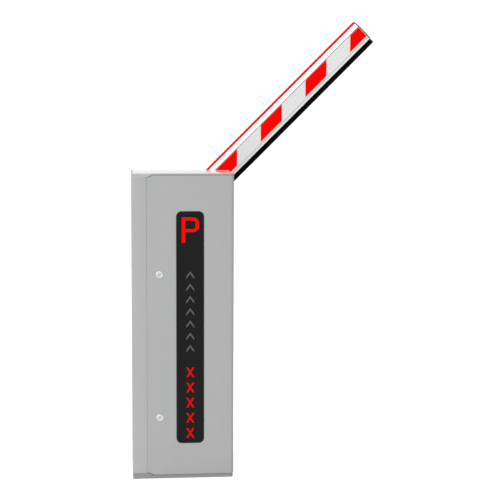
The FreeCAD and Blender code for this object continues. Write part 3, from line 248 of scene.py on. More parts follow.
def softened(node, name, radius):
    """A merged copy of a CAD node whose sharp edges get a small rounding."""
    sharp = math.radians(35.0)
    mesh = frame["nodes"][node].data.copy()
    mesh.name = name
    mesh.materials.clear()
    work = bmesh.new()
    work.from_mesh(mesh)
    bmesh.ops.remove_doubles(work, verts=work.verts, dist=2e-6)
    bmesh.ops.dissolve_limit(work, angle_limit=math.radians(0.4), verts=work.verts, edges=work.edges)
    work.to_mesh(mesh)
    work.free()
    mesh.shade_smooth()
    mesh.set_sharp_from_angle(angle=sharp)
    obj = bpy.data.objects.new(name, mesh)
    bpy.context.scene.collection.objects.link(obj)
    bevel = obj.modifiers.new("Edges", "BEVEL")
    bevel.width = radius
    bevel.segments = 2
    bevel.limit_method = "ANGLE"
    bevel.angle_limit = sharp
    bevel.use_clamp_overlap = True
    bevel.harden_normals = True
    return obj


def finish_piece(obj, body, material, nodes=(), slot=None):
    """Gives a new piece its finish, the CAD nodes it stands for, and its body."""
    obj.data.materials.clear()
    obj.data.materials.append(material)
    if slot is None and nodes:
        slot = SLOT_OF[nodes[0]]
    if nodes:
        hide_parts(*nodes)
    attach(obj, body)
    return obj


def body_of(node):
    bodies = frame["record"]["behaviour"]["bodies"]
    return next(name for name, nodes in bodies.items() if node in nodes)


# ------------------------------------------------------------------ shader groups

def add(tree, kind, values=None, **settings):
    """One node; values set its inputs, and a socket among them is linked."""
    node = tree.nodes.new(kind)
    for key, value in settings.items():
        setattr(node, key, value)
    for key, value in (values or {}).items():
        if isinstance(value, bpy.types.NodeSocket):
            tree.links.new(value, node.inputs[key])
        else:
            node.inputs[key].default_value = value
    return node


def noise(tree, vector, scale, detail=3.0, rough=0.5):
    return add(tree, "ShaderNodeTexNoise",
               {"Vector": vector, "Scale": scale, "Detail": detail, "Roughness": rough})


def ramp(tree, value, low, high, to_low=0.0, to_high=1.0):
    node = add(tree, "ShaderNodeMapRange",
               {"Value": value, "From Min": low, "From Max": high, "To Min": to_low, "To Max": to_high})
    return node.outputs["Result"]


def maths(tree, operation, a, b=0.0):
    node = add(tree, "ShaderNodeMath", {0: a, 1: b}, operation=operation)
    return node.outputs["Value"]


def blend_colour(tree, factor, a, b, mode="MIX"):
    node = add(tree, "ShaderNodeMix", data_type="RGBA", blend_type=mode)
    for index, value in ((0, factor), (6, a), (7, b)):
        if isinstance(value, bpy.types.NodeSocket):
            tree.links.new(value, node.inputs[index])
        else:
            node.inputs[index].default_value = value
    return node.outputs[2]


def scaled(tree, vector, factors):
    node = add(tree, "ShaderNodeMapping", {"Vector": vector, "Scale": factors})
    return node.outputs["Vector"]


def open_group(name, inputs):
    """Empty shader group with a colour, a roughness and a height out."""
    tree = bpy.data.node_groups.new(name, "ShaderNodeTree")
    for label, kind, default in inputs:
        socket = tree.interface.new_socket(label, in_out="INPUT", socket_type=kind)
        socket.default_value = default
    for label in ("Color", "Roughness", "Height"):
        kind = "NodeSocketColor" if label == "Color" else "NodeSocketFloat"
        tree.interface.new_socket(label, in_out="OUTPUT", socket_type=kind)
    entry = tree.nodes.new("NodeGroupInput")
    place = tree.nodes.new("ShaderNodeTexCoord").outputs["Object"]
    return tree, entry.outputs, place


def close_group(tree, shade, rough, height):
    out = tree.nodes.new("NodeGroupOutput")
    tree.links.new(shade, out.inputs["Color"])
    tree.links.new(rough, out.inputs["Roughness"])
    tree.links.new(height, out.inputs["Height"])
    return tree


def dim(tree, base, factor):
    """Multiplies a colour by a grey of the given value."""
    grey = add(tree, "ShaderNodeCombineColor", {"Red": factor, "Green": factor, "Blue": factor})
    return blend_colour(tree, 1.0, base, grey.outputs["Color"], "MULTIPLY")


def powder_group():
    """Powder coat: orange peel, slow tone drift, dust low down and faint vertical runs."""
    tree, given, place = open_group("Powder coat", [
        ("Color", "NodeSocketColor", (0.5, 0.5, 0.5, 1)), ("Peel", "NodeSocketFloat", 620.0),
        ("Drift", "NodeSocketFloat", 0.04), ("Roughness", "NodeSocketFloat", 0.42),
        ("Dust", "NodeSocketFloat", 0.10)])
    peel = noise(tree, place, given["Peel"], 2.0, 0.55).outputs["Fac"]
    speckle = noise(tree, place, 2600.0, 2.0, 0.6).outputs["Fac"]
    slow = noise(tree, place, 3.1, 3.0, 0.5).outputs["Fac"]
    runs = noise(tree, scaled(tree, place, (55.0, 55.0, 1.6)), 1.0, 4.0, 0.55).outputs["Fac"]
    low = add(tree, "ShaderNodeSeparateXYZ", {"Vector": place}).outputs["Z"]
    near_ground = ramp(tree, low, 0.16, 0.0)
    splash = noise(tree, place, 42.0, 6.0, 0.65).outputs["Fac"]
    low_splash = maths(tree, "MULTIPLY", near_ground, ramp(tree, splash, 0.35, 0.75))
    dust = maths(tree, "MULTIPLY", low_splash, given["Dust"])
    drift = maths(tree, "MULTIPLY", maths(tree, "SUBTRACT", slow, 0.5), given["Drift"])
    tone = maths(tree, "ADD", drift, 1.0)
    fleck = ramp(tree, speckle, 0.3, 0.7, 0.985, 1.015)
    streak = ramp(tree, runs, 0.35, 0.7, 1.006, 0.988)
    shade = dim(tree, given["Color"], maths(tree, "MULTIPLY", maths(tree, "MULTIPLY", tone, fleck), streak))
    shade = blend_colour(tree, dust, shade, (0.30, 0.293, 0.28, 1))
    patches = noise(tree, place, 17.0, 4.0, 0.6).outputs["Fac"]
    rough = maths(tree, "ADD", given["Roughness"], ramp(tree, patches, 0.3, 0.7, -0.035, 0.045))
    rough = maths(tree, "ADD", rough, maths(tree, "MULTIPLY", dust, 0.5))
    height = maths(tree, "ADD", maths(tree, "MULTIPLY", peel, 1.0), maths(tree, "MULTIPLY", speckle, 0.18))
    return close_group(tree, shade, rough, height)


def metal_group():
    """Worked metal: fine lines drawn out along one axis, cloudy oil film and sparse scratches."""
    tree, given, place = open_group("Worked metal", [
        ("Color", "NodeSocketColor", (0.6, 0.6, 0.6, 1)),
        ("Lines", "NodeSocketVector", (900.0, 900.0, 40.0)),
        ("Roughness", "NodeSocketFloat", 0.3), ("Stain", "NodeSocketFloat", 0.2)])
    stretch = add(tree, "ShaderNodeVectorMath", {0: place, 1: given["Lines"]}, operation="MULTIPLY")
    lines = noise(tree, stretch.outputs["Vector"], 1.0, 3.0, 0.6).outputs["Fac"]
    cloud = noise(tree, place, 24.0, 5.0, 0.6).outputs["Fac"]
    drawn = scaled(tree, place, (90.0, 70.0, 230.0))
    cells = add(tree, "ShaderNodeTexVoronoi", {"Vector": drawn, "Scale": 1.0},
                feature="DISTANCE_TO_EDGE").outputs["Distance"]
    scratch = ramp(tree, cells, 0.0, 0.018, 1.0, 0.0)
    scratch = maths(tree, "MULTIPLY", scratch, ramp(tree, cloud, 0.52, 0.66))
    stain = maths(tree, "MULTIPLY", ramp(tree, cloud, 0.45, 0.8), given["Stain"])
    tone = maths(tree, "MULTIPLY", ramp(tree, lines, 0.25, 0.75, 0.90, 1.08),
                 maths(tree, "SUBTRACT", 1.0, stain))
    tone = maths(tree, "ADD", tone, maths(tree, "MULTIPLY", scratch, 0.12))
    shade = dim(tree, given["Color"], tone)
    rough = maths(tree, "ADD", given["Roughness"], ramp(tree, lines, 0.2, 0.8, -0.07, 0.09))
    rough = maths(tree, "ADD", rough, ramp(tree, cloud, 0.3, 0.8, -0.03, 0.10))
    height = maths(tree, "SUBTRACT", maths(tree, "MULTIPLY", lines, 0.6),
                   maths(tree, "MULTIPLY", scratch, 0.5))
    return close_group(tree, shade, rough, height)


def plastic_group():
    """Moulded plastic: spark-eroded grain, slight flow marks and finger sheen."""
    tree, given, place = open_group("Moulded plastic", [
        ("Color", "NodeSocketColor", (0.1, 0.1, 0.1, 1)), ("Grain", "NodeSocketFloat", 1500.0),
        ("Roughness", "NodeSocketFloat", 0.45)])
    grain = add(tree, "ShaderNodeTexVoronoi", {"Vector": place, "Scale": given["Grain"]}).outputs["Distance"]
    flow = noise(tree, scaled(tree, place, (30.0, 30.0, 8.0)), 1.0, 3.0, 0.5).outputs["Fac"]
    touch = noise(tree, place, 36.0, 4.0, 0.6).outputs["Fac"]
    shade = dim(tree, given["Color"], maths(tree, "MULTIPLY", ramp(tree, flow, 0.3, 0.7, 0.95, 1.05),
                                            ramp(tree, grain, 0.0, 0.8, 1.05, 0.94)))
    rough = maths(tree, "ADD", given["Roughness"], ramp(tree, touch, 0.35, 0.7, 0.04, -0.06))
    return close_group(tree, shade, rough, maths(tree, "SUBTRACT", 1.0, grain))


def cast_group():
    """Casting or forging: pitted skin with darker hollows."""
    tree, given, place = open_group("Cast skin", [
        ("Color", "NodeSocketColor", (0.3, 0.3, 0.3, 1)), ("Pits", "NodeSocketFloat", 420.0),
        ("Roughness", "NodeSocketFloat", 0.5)])
    skin = noise(tree, place, given["Pits"], 5.0, 0.62).outputs["Fac"]
    cloud = noise(tree, place, 19.0, 4.0, 0.55).outputs["Fac"]
    shade = dim(tree, given["Color"], maths(tree, "MULTIPLY", ramp(tree, skin, 0.3, 0.7, 0.86, 1.1),
                                            ramp(tree, cloud, 0.3, 0.75, 1.05, 0.88)))
    rough = maths(tree, "ADD", given["Roughness"], ramp(tree, skin, 0.3, 0.7, 0.08, -0.06))
    return close_group(tree, shade, rough, skin)


def rubber_group():
    """Extruded rubber: fine drag lines along the boom, bloom and fine grain."""
    tree, given, place = open_group("Rubber", [
        ("Color", "NodeSocketColor", (0.02, 0.02, 0.02, 1)),
        ("Drag", "NodeSocketVector", (30.0, 900.0, 900.0)),
        ("Turn", "NodeSocketFloat", 0.0), ("Roughness", "NodeSocketFloat", 0.6)])
    turn = add(tree, "ShaderNodeVectorRotate", {"Vector": place, "Angle": given["Turn"]},
               rotation_type="Y_AXIS")
    stretch = add(tree, "ShaderNodeVectorMath", {0: turn.outputs["Vector"], 1: given["Drag"]},
                  operation="MULTIPLY")
    drag = noise(tree, stretch.outputs["Vector"], 1.0, 3.0, 0.6).outputs["Fac"]
    grain = noise(tree, place, 1900.0, 2.0, 0.6).outputs["Fac"]
    bloom = noise(tree, place, 26.0, 5.0, 0.65).outputs["Fac"]
    bloomed = ramp(tree, bloom, 0.55, 0.85, 0.0, 0.08)
    shade = blend_colour(tree, bloomed, given["Color"], (0.04, 0.04, 0.04, 1))
    shade = dim(tree, shade, ramp(tree, drag, 0.3, 0.7, 0.9, 1.12))
    rough = maths(tree, "ADD", given["Roughness"], ramp(tree, bloom, 0.3, 0.7, -0.06, 0.12))
    height = maths(tree, "ADD", maths(tree, "MULTIPLY", drag, 0.6), maths(tree, "MULTIPLY", grain, 0.4))
    return close_group(tree, shade, rough, height)


def film_group():
    """Prismatic film: a net of small cells turned with the boom, and slight tone change."""
    tree, given, place = open_group("Prismatic film", [
        ("Color", "NodeSocketColor", (0.8, 0.0, 0.0, 1)), ("Cells", "NodeSocketFloat", 330.0),
        ("Contrast", "NodeSocketFloat", 0.1), ("Roughness", "NodeSocketFloat", 0.3)])
    turn = add(tree, "ShaderNodeVectorRotate", {"Vector": place, "Angle": REST_ANGLE}, rotation_type="Y_AXIS")
    flat = scaled(tree, turn.outputs["Vector"], (1.0, 0.0, 1.0))
    cells = add(tree, "ShaderNodeTexVoronoi", {"Vector": flat, "Scale": given["Cells"], "Randomness": 0.12},
                feature="DISTANCE_TO_EDGE").outputs["Distance"]
    wall = ramp(tree, cells, 0.03, 0.16, 1.0, 0.0)
    slow = noise(tree, place, 12.0, 3.0, 0.5).outputs["Fac"]
    tone = maths(tree, "SUBTRACT", ramp(tree, slow, 0.3, 0.7, 0.985, 1.015),
                 maths(tree, "MULTIPLY", wall, given["Contrast"]))
    shade = dim(tree, given["Color"], tone)
    rough = maths(tree, "ADD", given["Roughness"], maths(tree, "MULTIPLY", wall, 0.12))
    return close_group(tree, shade, rough, wall)


def lamp_group():
    """Diffuser with a row-and-column lamp pattern showing faintly through."""
    tree, given, place = open_group("Lamp diffuser", [
        ("Color", "NodeSocketColor", (1, 0, 0, 1)), ("Pitch", "NodeSocketFloat", 0.004),
        ("Contrast", "NodeSocketFloat", 0.15), ("Roughness", "NodeSocketFloat", 0.35)])
    axes = add(tree, "ShaderNodeSeparateXYZ", {"Vector": place}).outputs
    waves = []
    for axis in ("X", "Z"):
        phase = maths(tree, "MULTIPLY", maths(tree, "DIVIDE", axes[axis], given["Pitch"]), 2 * math.pi)
        waves.append(ramp(tree, maths(tree, "COSINE", phase), -1.0, 1.0))
    dots = maths(tree, "POWER", maths(tree, "MULTIPLY", waves[0], waves[1]), 0.7)
    slow = noise(tree, place, 40.0, 2.0, 0.5).outputs["Fac"]
    tone = maths(tree, "ADD", maths(tree, "SUBTRACT", 1.0, given["Contrast"]),
                 maths(tree, "MULTIPLY", dots, given["Contrast"]))
    tone = maths(tree, "MULTIPLY", tone, ramp(tree, slow, 0.3, 0.7, 0.98, 1.02))
    shade = dim(tree, given["Color"], tone)
    rough = maths(tree, "ADD", given["Roughness"], ramp(tree, slow, 0.3, 0.7, -0.04, 0.05))
    return close_group(tree, shade, rough, dots)


def board_group():
    """Printed board: copper runs under the mask."""
    tree, given, place = open_group("Printed board", [
        ("Color", "NodeSocketColor", (0.02, 0.16, 0.07, 1)), ("Runs", "NodeSocketFloat", 260.0),
        ("Roughness", "NodeSocketFloat", 0.3)])
    cells = add(tree, "ShaderNodeTexVoronoi", {"Vector": place, "Scale": given["Runs"], "Randomness": 0.75},
                distance="MANHATTAN").outputs["Color"]
    pick = add(tree, "ShaderNodeSeparateColor", {"Color": cells}).outputs["Red"]
    brick = add(tree, "ShaderNodeTexBrick", {"Vector": scaled(tree, place, (1.0, 0.0, 1.0)), "Scale": 160.0,
                                             "Mortar Size": 0.018}).outputs["Fac"]
    runs = maths(tree, "MULTIPLY", brick, ramp(tree, pick, 0.4, 0.5))
    shade = blend_colour(tree, maths(tree, "MULTIPLY", runs, 0.55), given["Color"], (0.10, 0.42, 0.20, 1))
    rough = maths(tree, "ADD", given["Roughness"], ramp(tree, pick, 0.0, 1.0, -0.04, 0.08))
    return close_group(tree, shade, rough, runs)


GROUPS = {"powder": powder_group, "metal": metal_group, "plastic": plastic_group, "cast": cast_group,
          "rubber": rubber_group, "film": film_group, "lamp": lamp_group, "board": board_group}


def shader_group(kind):
    label = "Barrier " + kind
    if label not in bpy.data.node_groups:
        GROUPS[kind]().name = label
    return bpy.data.node_groups[label]


def material(name, kind, base, inputs=None, shader=None, bump=0.0001, strength=0.3, glow=0.0):
    """Material whose group output feeds its own Principled shader."""
    if name in bpy.data.materials:
        return bpy.data.materials[name]
    made = bpy.data.materials.new(name)
    made.use_nodes = True
    tree = made.node_tree
    principled = tree.nodes["Principled BSDF"]
    group = tree.nodes.new("ShaderNodeGroup")
    group.node_tree = shader_group(kind)
    group.inputs["Color"].default_value = (*base, 1.0)
    for key, value in (inputs or {}).items():
        group.inputs[key].default_value = value
    for key, value in (shader or {}).items():
        principled.inputs[key].default_value = value
    tree.links.new(group.outputs["Color"], principled.inputs["Base Color"])
    tree.links.new(group.outputs["Roughness"], principled.inputs["Roughness"])
    relief = add(tree, "ShaderNodeBump",
                 {"Strength": strength, "Distance": bump, "Height": group.outputs["Height"]})
    tree.links.new(relief.outputs["Normal"], principled.inputs["Normal"])
    if glow:
        tree.links.new(group.outputs["Color"], principled.inputs["Emission Color"])
        principled.inputs["Emission Strength"].default_value = glow
    made.diffuse_color = (*base, 1.0)
    return made


METAL = {"Metallic": 1.0}
COATED = {"Specular IOR Level": 0.5, "Coat Weight": 0.0}


def finish_for(slot):
    """The finish of each material slot."""
    scene = bpy.context.scene
    cabinet = scene.barrier_cabinet
    display = scene.barrier_display
    boom = scene.barrier_boom
    sheet = {"Lines": (60.0, 60.0, 900.0), "Roughness": 0.42, "Stain": 0.25}
    ground = {"Lines": (900.0, 60.0, 900.0), "Roughness": 0.22, "Stain": 0.15}
    finishes = {
        "steel_base": ("metal", (0.42, 0.43, 0.43), dict(sheet, Roughness=0.5), METAL, 0.0001, 0.4),
        # Painted shade: paint_dark takes the darkened skirt grey, which stands in for the shade in the recess
        # under the door.
        "paint_dark": ("powder", cabinet.plinth, {"Dust": 0.3, "Roughness": 0.5}, COATED, 0.00012, 0.3),
        "paint_body": ("powder", cabinet.body, {}, COATED, 0.00012, 0.3),
        # Painted shade: the door's colour is a little darker than the body's, standing in for its different angle
        # to the light.
        "paint_door": ("powder", cabinet.door, {}, COATED, 0.00012, 0.3),
        "paint_lid": ("powder", cabinet.lid, {"Roughness": 0.16, "Peel": 380.0, "Dust": 0.0},
                      {"Coat Weight": 0.6, "Coat Roughness": 0.03}, 0.00001, 0.05),
        "steel_screws": ("metal", (0.55, 0.55, 0.54), dict(ground, Roughness=0.3), METAL, 0.00006, 0.3),
        "zinc_frame": ("metal", (0.56, 0.58, 0.60), dict(sheet, Roughness=0.38), METAL, 0.00008, 0.4),
        "steel_pins": ("metal", (0.48, 0.48, 0.49), ground, METAL, 0.00006, 0.3),
        "foam_gasket": ("rubber", (0.022, 0.022, 0.022), {"Roughness": 0.8}, {}, 0.0003, 0.7),
        "chrome_lock": ("metal", (0.86, 0.86, 0.86), dict(ground, Roughness=0.14, Stain=0.05), METAL,
                        0.00003, 0.2),
        "chrome_core": ("metal", (0.62, 0.62, 0.63), dict(ground, Roughness=0.24, Stain=0.1), METAL,
                        0.00004, 0.3),
        "face_black": ("plastic", display.face, {"Roughness": 0.42, "Grain": 2400.0},
                       {"Specular IOR Level": 0.10}, 0.00003, 0.2),
        "light_red": ("lamp", display.lit, {}, {"Specular IOR Level": 0.04}, 0.00005, 0.2),
        "light_grey": ("lamp", display.unlit, {"Contrast": 0.12}, {"Specular IOR Level": 0.15},
                       0.00005, 0.3),
        "abs_black": ("plastic", (0.022, 0.022, 0.023), {}, {}, 0.00008, 0.4),
        "board_green": ("board", (0.018, 0.13, 0.055), {}, {"Coat Weight": 0.3}, 0.00006, 0.5),
        "steel_frame": ("powder", (0.05, 0.055, 0.06), {"Dust": 0.1}, COATED, 0.00014, 0.4),
        "cast_housing": ("cast", (0.16, 0.17, 0.18), {}, {"Metallic": 0.6}, 0.0002, 0.5),
        "bronze_bush": ("metal", (0.56, 0.36, 0.15), ground, METAL, 0.00006, 0.3),
        "steel_shaft": ("metal", (0.58, 0.59, 0.60), dict(ground, Roughness=0.16), METAL, 0.00004, 0.3),
        "steel_lever": ("metal", (0.22, 0.23, 0.25), dict(sheet, Roughness=0.4), METAL, 0.00008, 0.4),
        "steel_spring": ("metal", (0.20, 0.21, 0.22), dict(sheet, Roughness=0.34), METAL, 0.00005, 0.3),
        "rubber_buffer": ("rubber", (0.02, 0.02, 0.02), {}, {}, 0.0002, 0.5),
        "alu_cam": ("metal", (0.74, 0.75, 0.76), ground, METAL, 0.00006, 0.3),
        "cast_gearbox": ("cast", (0.40, 0.41, 0.42), {"Pits": 620.0}, {"Metallic": 0.8}, 0.0002, 0.5),
        "paint_motor": ("powder", (0.02, 0.022, 0.025), {"Roughness": 0.3}, COATED, 0.0001, 0.3),
        "abs_red": ("plastic", (0.55, 0.02, 0.015), {}, {}, 0.00008, 0.4),
        "abs_green": ("plastic", (0.02, 0.36, 0.06), {}, {}, 0.00008, 0.4),
        "abs_blue": ("plastic", (0.02, 0.07, 0.30), {}, {}, 0.00008, 0.4),
        "abs_white": ("plastic", (0.62, 0.62, 0.60), {}, {}, 0.00008, 0.4),
        "abs_grey": ("plastic", (0.26, 0.27, 0.27), {}, {}, 0.00008, 0.4),
        "abs_parts": ("plastic", (0.03, 0.05, 0.12), {}, {}, 0.00008, 0.4),
        "alu_supply": ("metal", (0.66, 0.67, 0.68), dict(sheet, Roughness=0.45), METAL, 0.00008, 0.4),
        "cable_black": ("rubber", (0.015, 0.015, 0.016), {"Drag": (900.0, 900.0, 30.0)}, {}, 0.0001, 0.3),
        "steel_hub": ("metal", (0.40, 0.41, 0.42), ground, METAL, 0.00008, 0.3),
        "paint_cradle": ("powder", (0.06, 0.06, 0.065), {"Dust": 0.0}, COATED, 0.00014, 0.4),
        "paint_boom": ("powder", boom.coat, {"Roughness": 0.34, "Dust": 0.0, "Drift": 0.02}, COATED,
                       0.00006, 0.2),
        "strip_red": ("lamp", (0.92, 0.0, 0.0), {"Pitch": 0.0125, "Contrast": 0.06},
                      {"Specular IOR Level": 0.03}, 0.00005, 0.2),
        "rubber_edge": ("rubber", boom.rubber, {"Turn": REST_ANGLE}, {"Specular IOR Level": 0.03},
                        0.00012, 0.4),
        "film_red": ("film", boom.film, {"Contrast": 0.06}, {"Specular IOR Level": 0.02}, 0.00003, 0.2),
    }
    kind, base, inputs, shader, bump, strength = finishes[slot]
    # The red warning film is no lamp: its glow of 0.12 is painted light that lifts it to a bright flat red; the
    # display signs and the light strip are lamps.
    glow = {"light_red": display.glow, "strip_red": 0.2, "film_red": 0.12}.get(slot, 0.0)
    return material("Finish " + slot, kind, tuple(base), inputs, shader, bump, strength, glow)


# ------------------------------------------------------------------ operators

class BARRIER_OT_finishes(bpy.types.Operator):
    """Give every fixed node its finish"""
    bl_idname = "barrier.finishes"
    bl_label = "Finish the fixed nodes"

    def execute(self, context):
        for node, obj in frame["nodes"].items():
            made = finish_for(SLOT_OF[node])
            if node == "sign_crosses":
                red = [0.78 * part for part in context.scene.barrier_display.lit]
                made = material("Finish crosses", "lamp", red, {}, {"Specular IOR Level": 0.04},
                                0.00005, 0.2, 0.2)
            if not obj.material_slots:
                obj.data.materials.append(made)
            for item in obj.material_slots:
                item.link = "OBJECT"
                item.material = made
        return {"FINISHED"}


class BARRIER_OT_cabinet(bpy.types.Operator):
    """Round the folded edges of the cabinet, door and lid"""
    bl_idname = "barrier.cabinet"
    bl_label = "Cabinet sheets"

    def execute(self, context):
        edge = context.scene.barrier_cabinet.edge
        thin = edge * 0.6
        for node, radius in (("cabinet_shell", edge), ("door_panel", edge), ("top_lid", thin),
                             ("plinth", edge), ("base_plate", edge), ("door_frame", thin)):
            obj = softened(node, node + "_sheet", radius)
            finish_piece(obj, body_of(node), finish_for(SLOT_OF[node]), [node])
        return {"FINISHED"}


class BARRIER_OT_boom(bpy.types.Operator):
    """Boom extrusion, films, light strip and soft edge, carried along the boom"""
    bl_idname = "barrier.boom"
    bl_label = "Boom"

    def execute(self, context):
        self.extrusion(context.scene.barrier_boom)
        self.bands(context.scene.barrier_boom)
        self.strip(context.scene.barrier_boom)
        self.soft_edge(context.scene.barrier_boom)
        return {"FINISHED"}

    def extrusion(self, boom):
        """Octagon (n, y) carried along the boom.

        It has a plain slot in its top and bottom edges and a fine groove beside each flat.
        """
        y0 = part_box("boom_profile")[0][1]
        mid = y0 + boom.depth / 2
        slot_half = 0.004
        slot_deep = 0.003
        groove = 0.0017
        groove_deep = 0.0012
        fall = boom.facet / (boom.half_height - boom.flat)
        lip = boom.flat + groove
        quarter = [(boom.flat, 0.0), (boom.flat + 0.0001, groove_deep), (lip, groove_deep + 0.0002),
                   (lip, groove * fall),
                   (boom.half_height, boom.facet), (boom.half_height, mid - y0 - slot_half),
                   (boom.half_height - slot_deep, mid - y0 - slot_half)]
        quarter = np.array(quarter)
        top_back = quarter[::-1] * (1, -1) + (0, boom.depth)
        right = np.vstack([quarter, top_back])
        left = right[::-1] * (-1, 1)
        corners = np.vstack([right, left]) + (0, y0)
        radii = np.full(len(corners), 0.0001)
        outer = np.isclose(np.abs(corners[:, 0]), boom.half_height)
        at_slot = np.isclose(np.abs(corners[:, 1] - mid), slot_half)
        radii[outer & ~at_slot] = boom.corner
        profile = rounded_loop(corners, radii)
        obj = carried("boom_extrusion", profile, np.linspace(BOOM_HEEL, BOOM_TIP, 60), boom_place, 25.0)
        finish_piece(obj, "boom", finish_for("paint_boom"), ["boom_profile"])

    def bands(self, boom):
        """Pale films on both flats, carried down the lower facets as painted shade, with thin grey strips beside
        them as painted groove shadow.
        """
        y0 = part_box("boom_profile")[0][1]
        pale = material("Finish pale film", "film", tuple(boom.band), {"Contrast": 0.05, "Roughness": 0.32},
                        {"Specular IOR Level": 0.3}, 0.00002, 0.2)
        # Painted shadow: this dark film strip beside each flat's top edge stands in for the shade of the groove
        # there; the fainter strip below stands in for the shade of a seam on the lower facet.
        line = material("Finish painted groove shadow", "film", (0.20, 0.20, 0.20), {"Contrast": 0.05},
                        {"Specular IOR Level": 0.3})
        faint = material("Finish painted lower groove shadow", "film", (0.60, 0.60, 0.60), {"Contrast": 0.05},
                         {"Specular IOR Level": 0.3})
        margin = 0.0012
        gap = 0.0018
        thick = 0.0002
        half = boom.flat - margin
        # Painted shade: the pale film carried down to here on the lower facet darkens a facet that faces down,
        # away from the light.
        lower = -boom.lower_shade_reach
        for name, y, way in (("boom_band_front", y0, -1), ("boom_band_rear", y0 + boom.depth, 1)):
            top = y + way * thick
            profile = rounded_loop([(-half, y), (half, y), (half, top), (-half, top)], 0.00004, 2)
            obj = carried(name, profile, FILM_SPAN, boom_place)
            finish_piece(obj, "boom", pale, slot="paint_boom")
            for part, n0, n1, made in (("_line", boom.flat + 0.0001, boom.flat + boom.line, line),
                                       ("_lower", -boom.flat - gap, lower, pale),
                                       ("_lower_line", lower, lower - boom.line, faint)):
                self.on_facet(boom, name + part, n0, n1, y, way, made)

    def on_facet(self, boom, name, n0, n1, y, way, made):
        """Thin film lying on a facet from n0 to n1.

        The facet lies (|n| - flat) * fall behind the flat, which is at y.
        """
        fall = boom.facet / (boom.half_height - boom.flat)
        skin = 0.00015
        inner = [(n, y - way * ((abs(n) - boom.flat) * fall - skin)) for n in (n0, n1)]
        outer = [(n, y - way * ((abs(n) - boom.flat) * fall - 2.2 * skin)) for n in (n1, n0)]
        obj = carried(name, np.array(inner + outer), FILM_SPAN, boom_place)
        finish_piece(obj, "boom", made, slot="paint_boom")

    def strip(self, boom):
        """Rounded bar (n, y) on the top edge with a foot in the slot, carried along the boom."""
        low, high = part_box("boom_light_strip")
        mid = (low[1] + high[1]) / 2
        half = (high[1] - low[1]) / 2
        n0 = boom.half_height
        tall = 0.0078
        top = n0 + tall
        foot = n0 - FOOT_DEEP
        corners = [(foot, mid - FOOT_HALF), (n0, mid - FOOT_HALF), (n0, mid - half), (top, mid - half),
                   (top, mid + half), (n0, mid + half), (n0, mid + FOOT_HALF), (foot, mid + FOOT_HALF)]
        radii = [0.0002, 0.0002, 0.0006, 0.0026, 0.0026, 0.0006, 0.0002, 0.0002]
        profile = rounded_loop(corners, radii, 6)
        obj = carried("boom_light_bar", profile, np.linspace(boom.start, BOOM_TIP, 60), boom_place, 40.0)
        finish_piece(obj, "boom", finish_for("strip_red"), ["boom_light_strip"])

    def soft_edge(self, boom):
        """Rubber profile (n, y) with drip grooves and lips on its sides, carried along the boom."""
        low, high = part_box("boom_rubber_edge")
        mid = (low[1] + high[1]) / 2
        half = (high[1] - low[1]) / 2
        n0 = -boom.half_height
        tall = 0.0170
        side = [(n0 + 0.0026, half + 0.0045), (n0 - 0.0008, half + 0.0038), (n0 - 0.0030, half),
                (n0 - 0.0034, half - 0.0009), (n0 - 0.0042, half - 0.0009),
                (n0 - 0.0046, half), (n0 - tall + 0.0055, half), (n0 - tall, half - 0.0055)]
        right = [(n, mid + y) for n, y in side]
        left = [(n, mid - y) for n, y in reversed(side)]
        lip = [(n0 - 0.0003, mid - half - 0.0024), (n0 - 0.0003, mid - FOOT_HALF),
               (n0 + FOOT_DEEP, mid - FOOT_HALF)]
        foot = lip + [(n, 2 * mid - y) for n, y in lip[::-1]]
        corners = right + left + foot
        radii = [0.0003, 0.0005, 0.0003, 0.0002, 0.0002, 0.0003, 0.0030, 0.0022]
        radii = radii + radii[::-1] + [0.0002] * 6
        profile = rounded_loop(corners, radii, 5)
        obj = carried("boom_soft_edge", profile, np.linspace(boom.start, BOOM_TIP, 60), boom_place, 40.0)
        finish_piece(obj, "boom", finish_for("rubber_edge"), ["boom_rubber_edge"])


class BARRIER_OT_springs(bpy.types.Operator):
    """Balance springs that stretch between the frame and the hanger"""
    bl_idname = "barrier.springs"
    bl_label = "Balance springs"

    def execute(self, context):
        low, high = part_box("balance_springs")
        plugs_low, plugs_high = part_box("spring_plugs")
        wire = 0.0015
        mean = 0.0095
        mid_y = (low[1] + high[1]) / 2
        plug_radius = 0.0077
        for name, x in (("spring_outer", plugs_low[0] + plug_radius),
                        ("spring_inner", plugs_high[0] - plug_radius)):
            obj = self.coil(name, (x, mid_y), low[2] + wire, high[2] - wire, mean, wire)
            obj.data.materials.append(finish_for("steel_spring"))
            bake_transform(obj)
            if name == "spring_outer":
                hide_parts("balance_springs")
        return {"FINISHED"}

    def coil(self, name, centre, z0, z1, mean, wire):
        """Wire of round section round a helix: c + (R + w cos b)(cos a, sin a) across, z(a) + w sin b up.

        The pitch is tight over the first and last turns, so that both ends lie flat.
        """
        turns = 22.0
        t = np.linspace(0, 1, int(turns * 28))
        ease = np.interp(t, [0, 0.05, 0.95, 1], [0, 0.013, 0.987, 1])
        a = t * turns * 2 * np.pi
        z = z0 + (z1 - z0) * ease
        b = np.linspace(0, 2 * np.pi, 10, endpoint=False)
        aa, bb = np.meshgrid(a, b, indexing="ij")
        zz = np.repeat(z, len(b)).reshape(aa.shape)
        r = mean + wire * np.cos(bb)
        points = np.stack([centre[0] + r * np.cos(aa), centre[1] + r * np.sin(aa), zz + wire * np.sin(bb)],
                          axis=-1)
        faces = grid_faces(len(a), len(b), wrap_cols=True)
        count = len(b)
        faces.append(list(range(count)))
        last = (len(a) - 1) * count
        faces.append([last + k for k in range(count)][::-1])
        return outward(new_object(name, points.reshape(-1, 3), faces, 60.0))


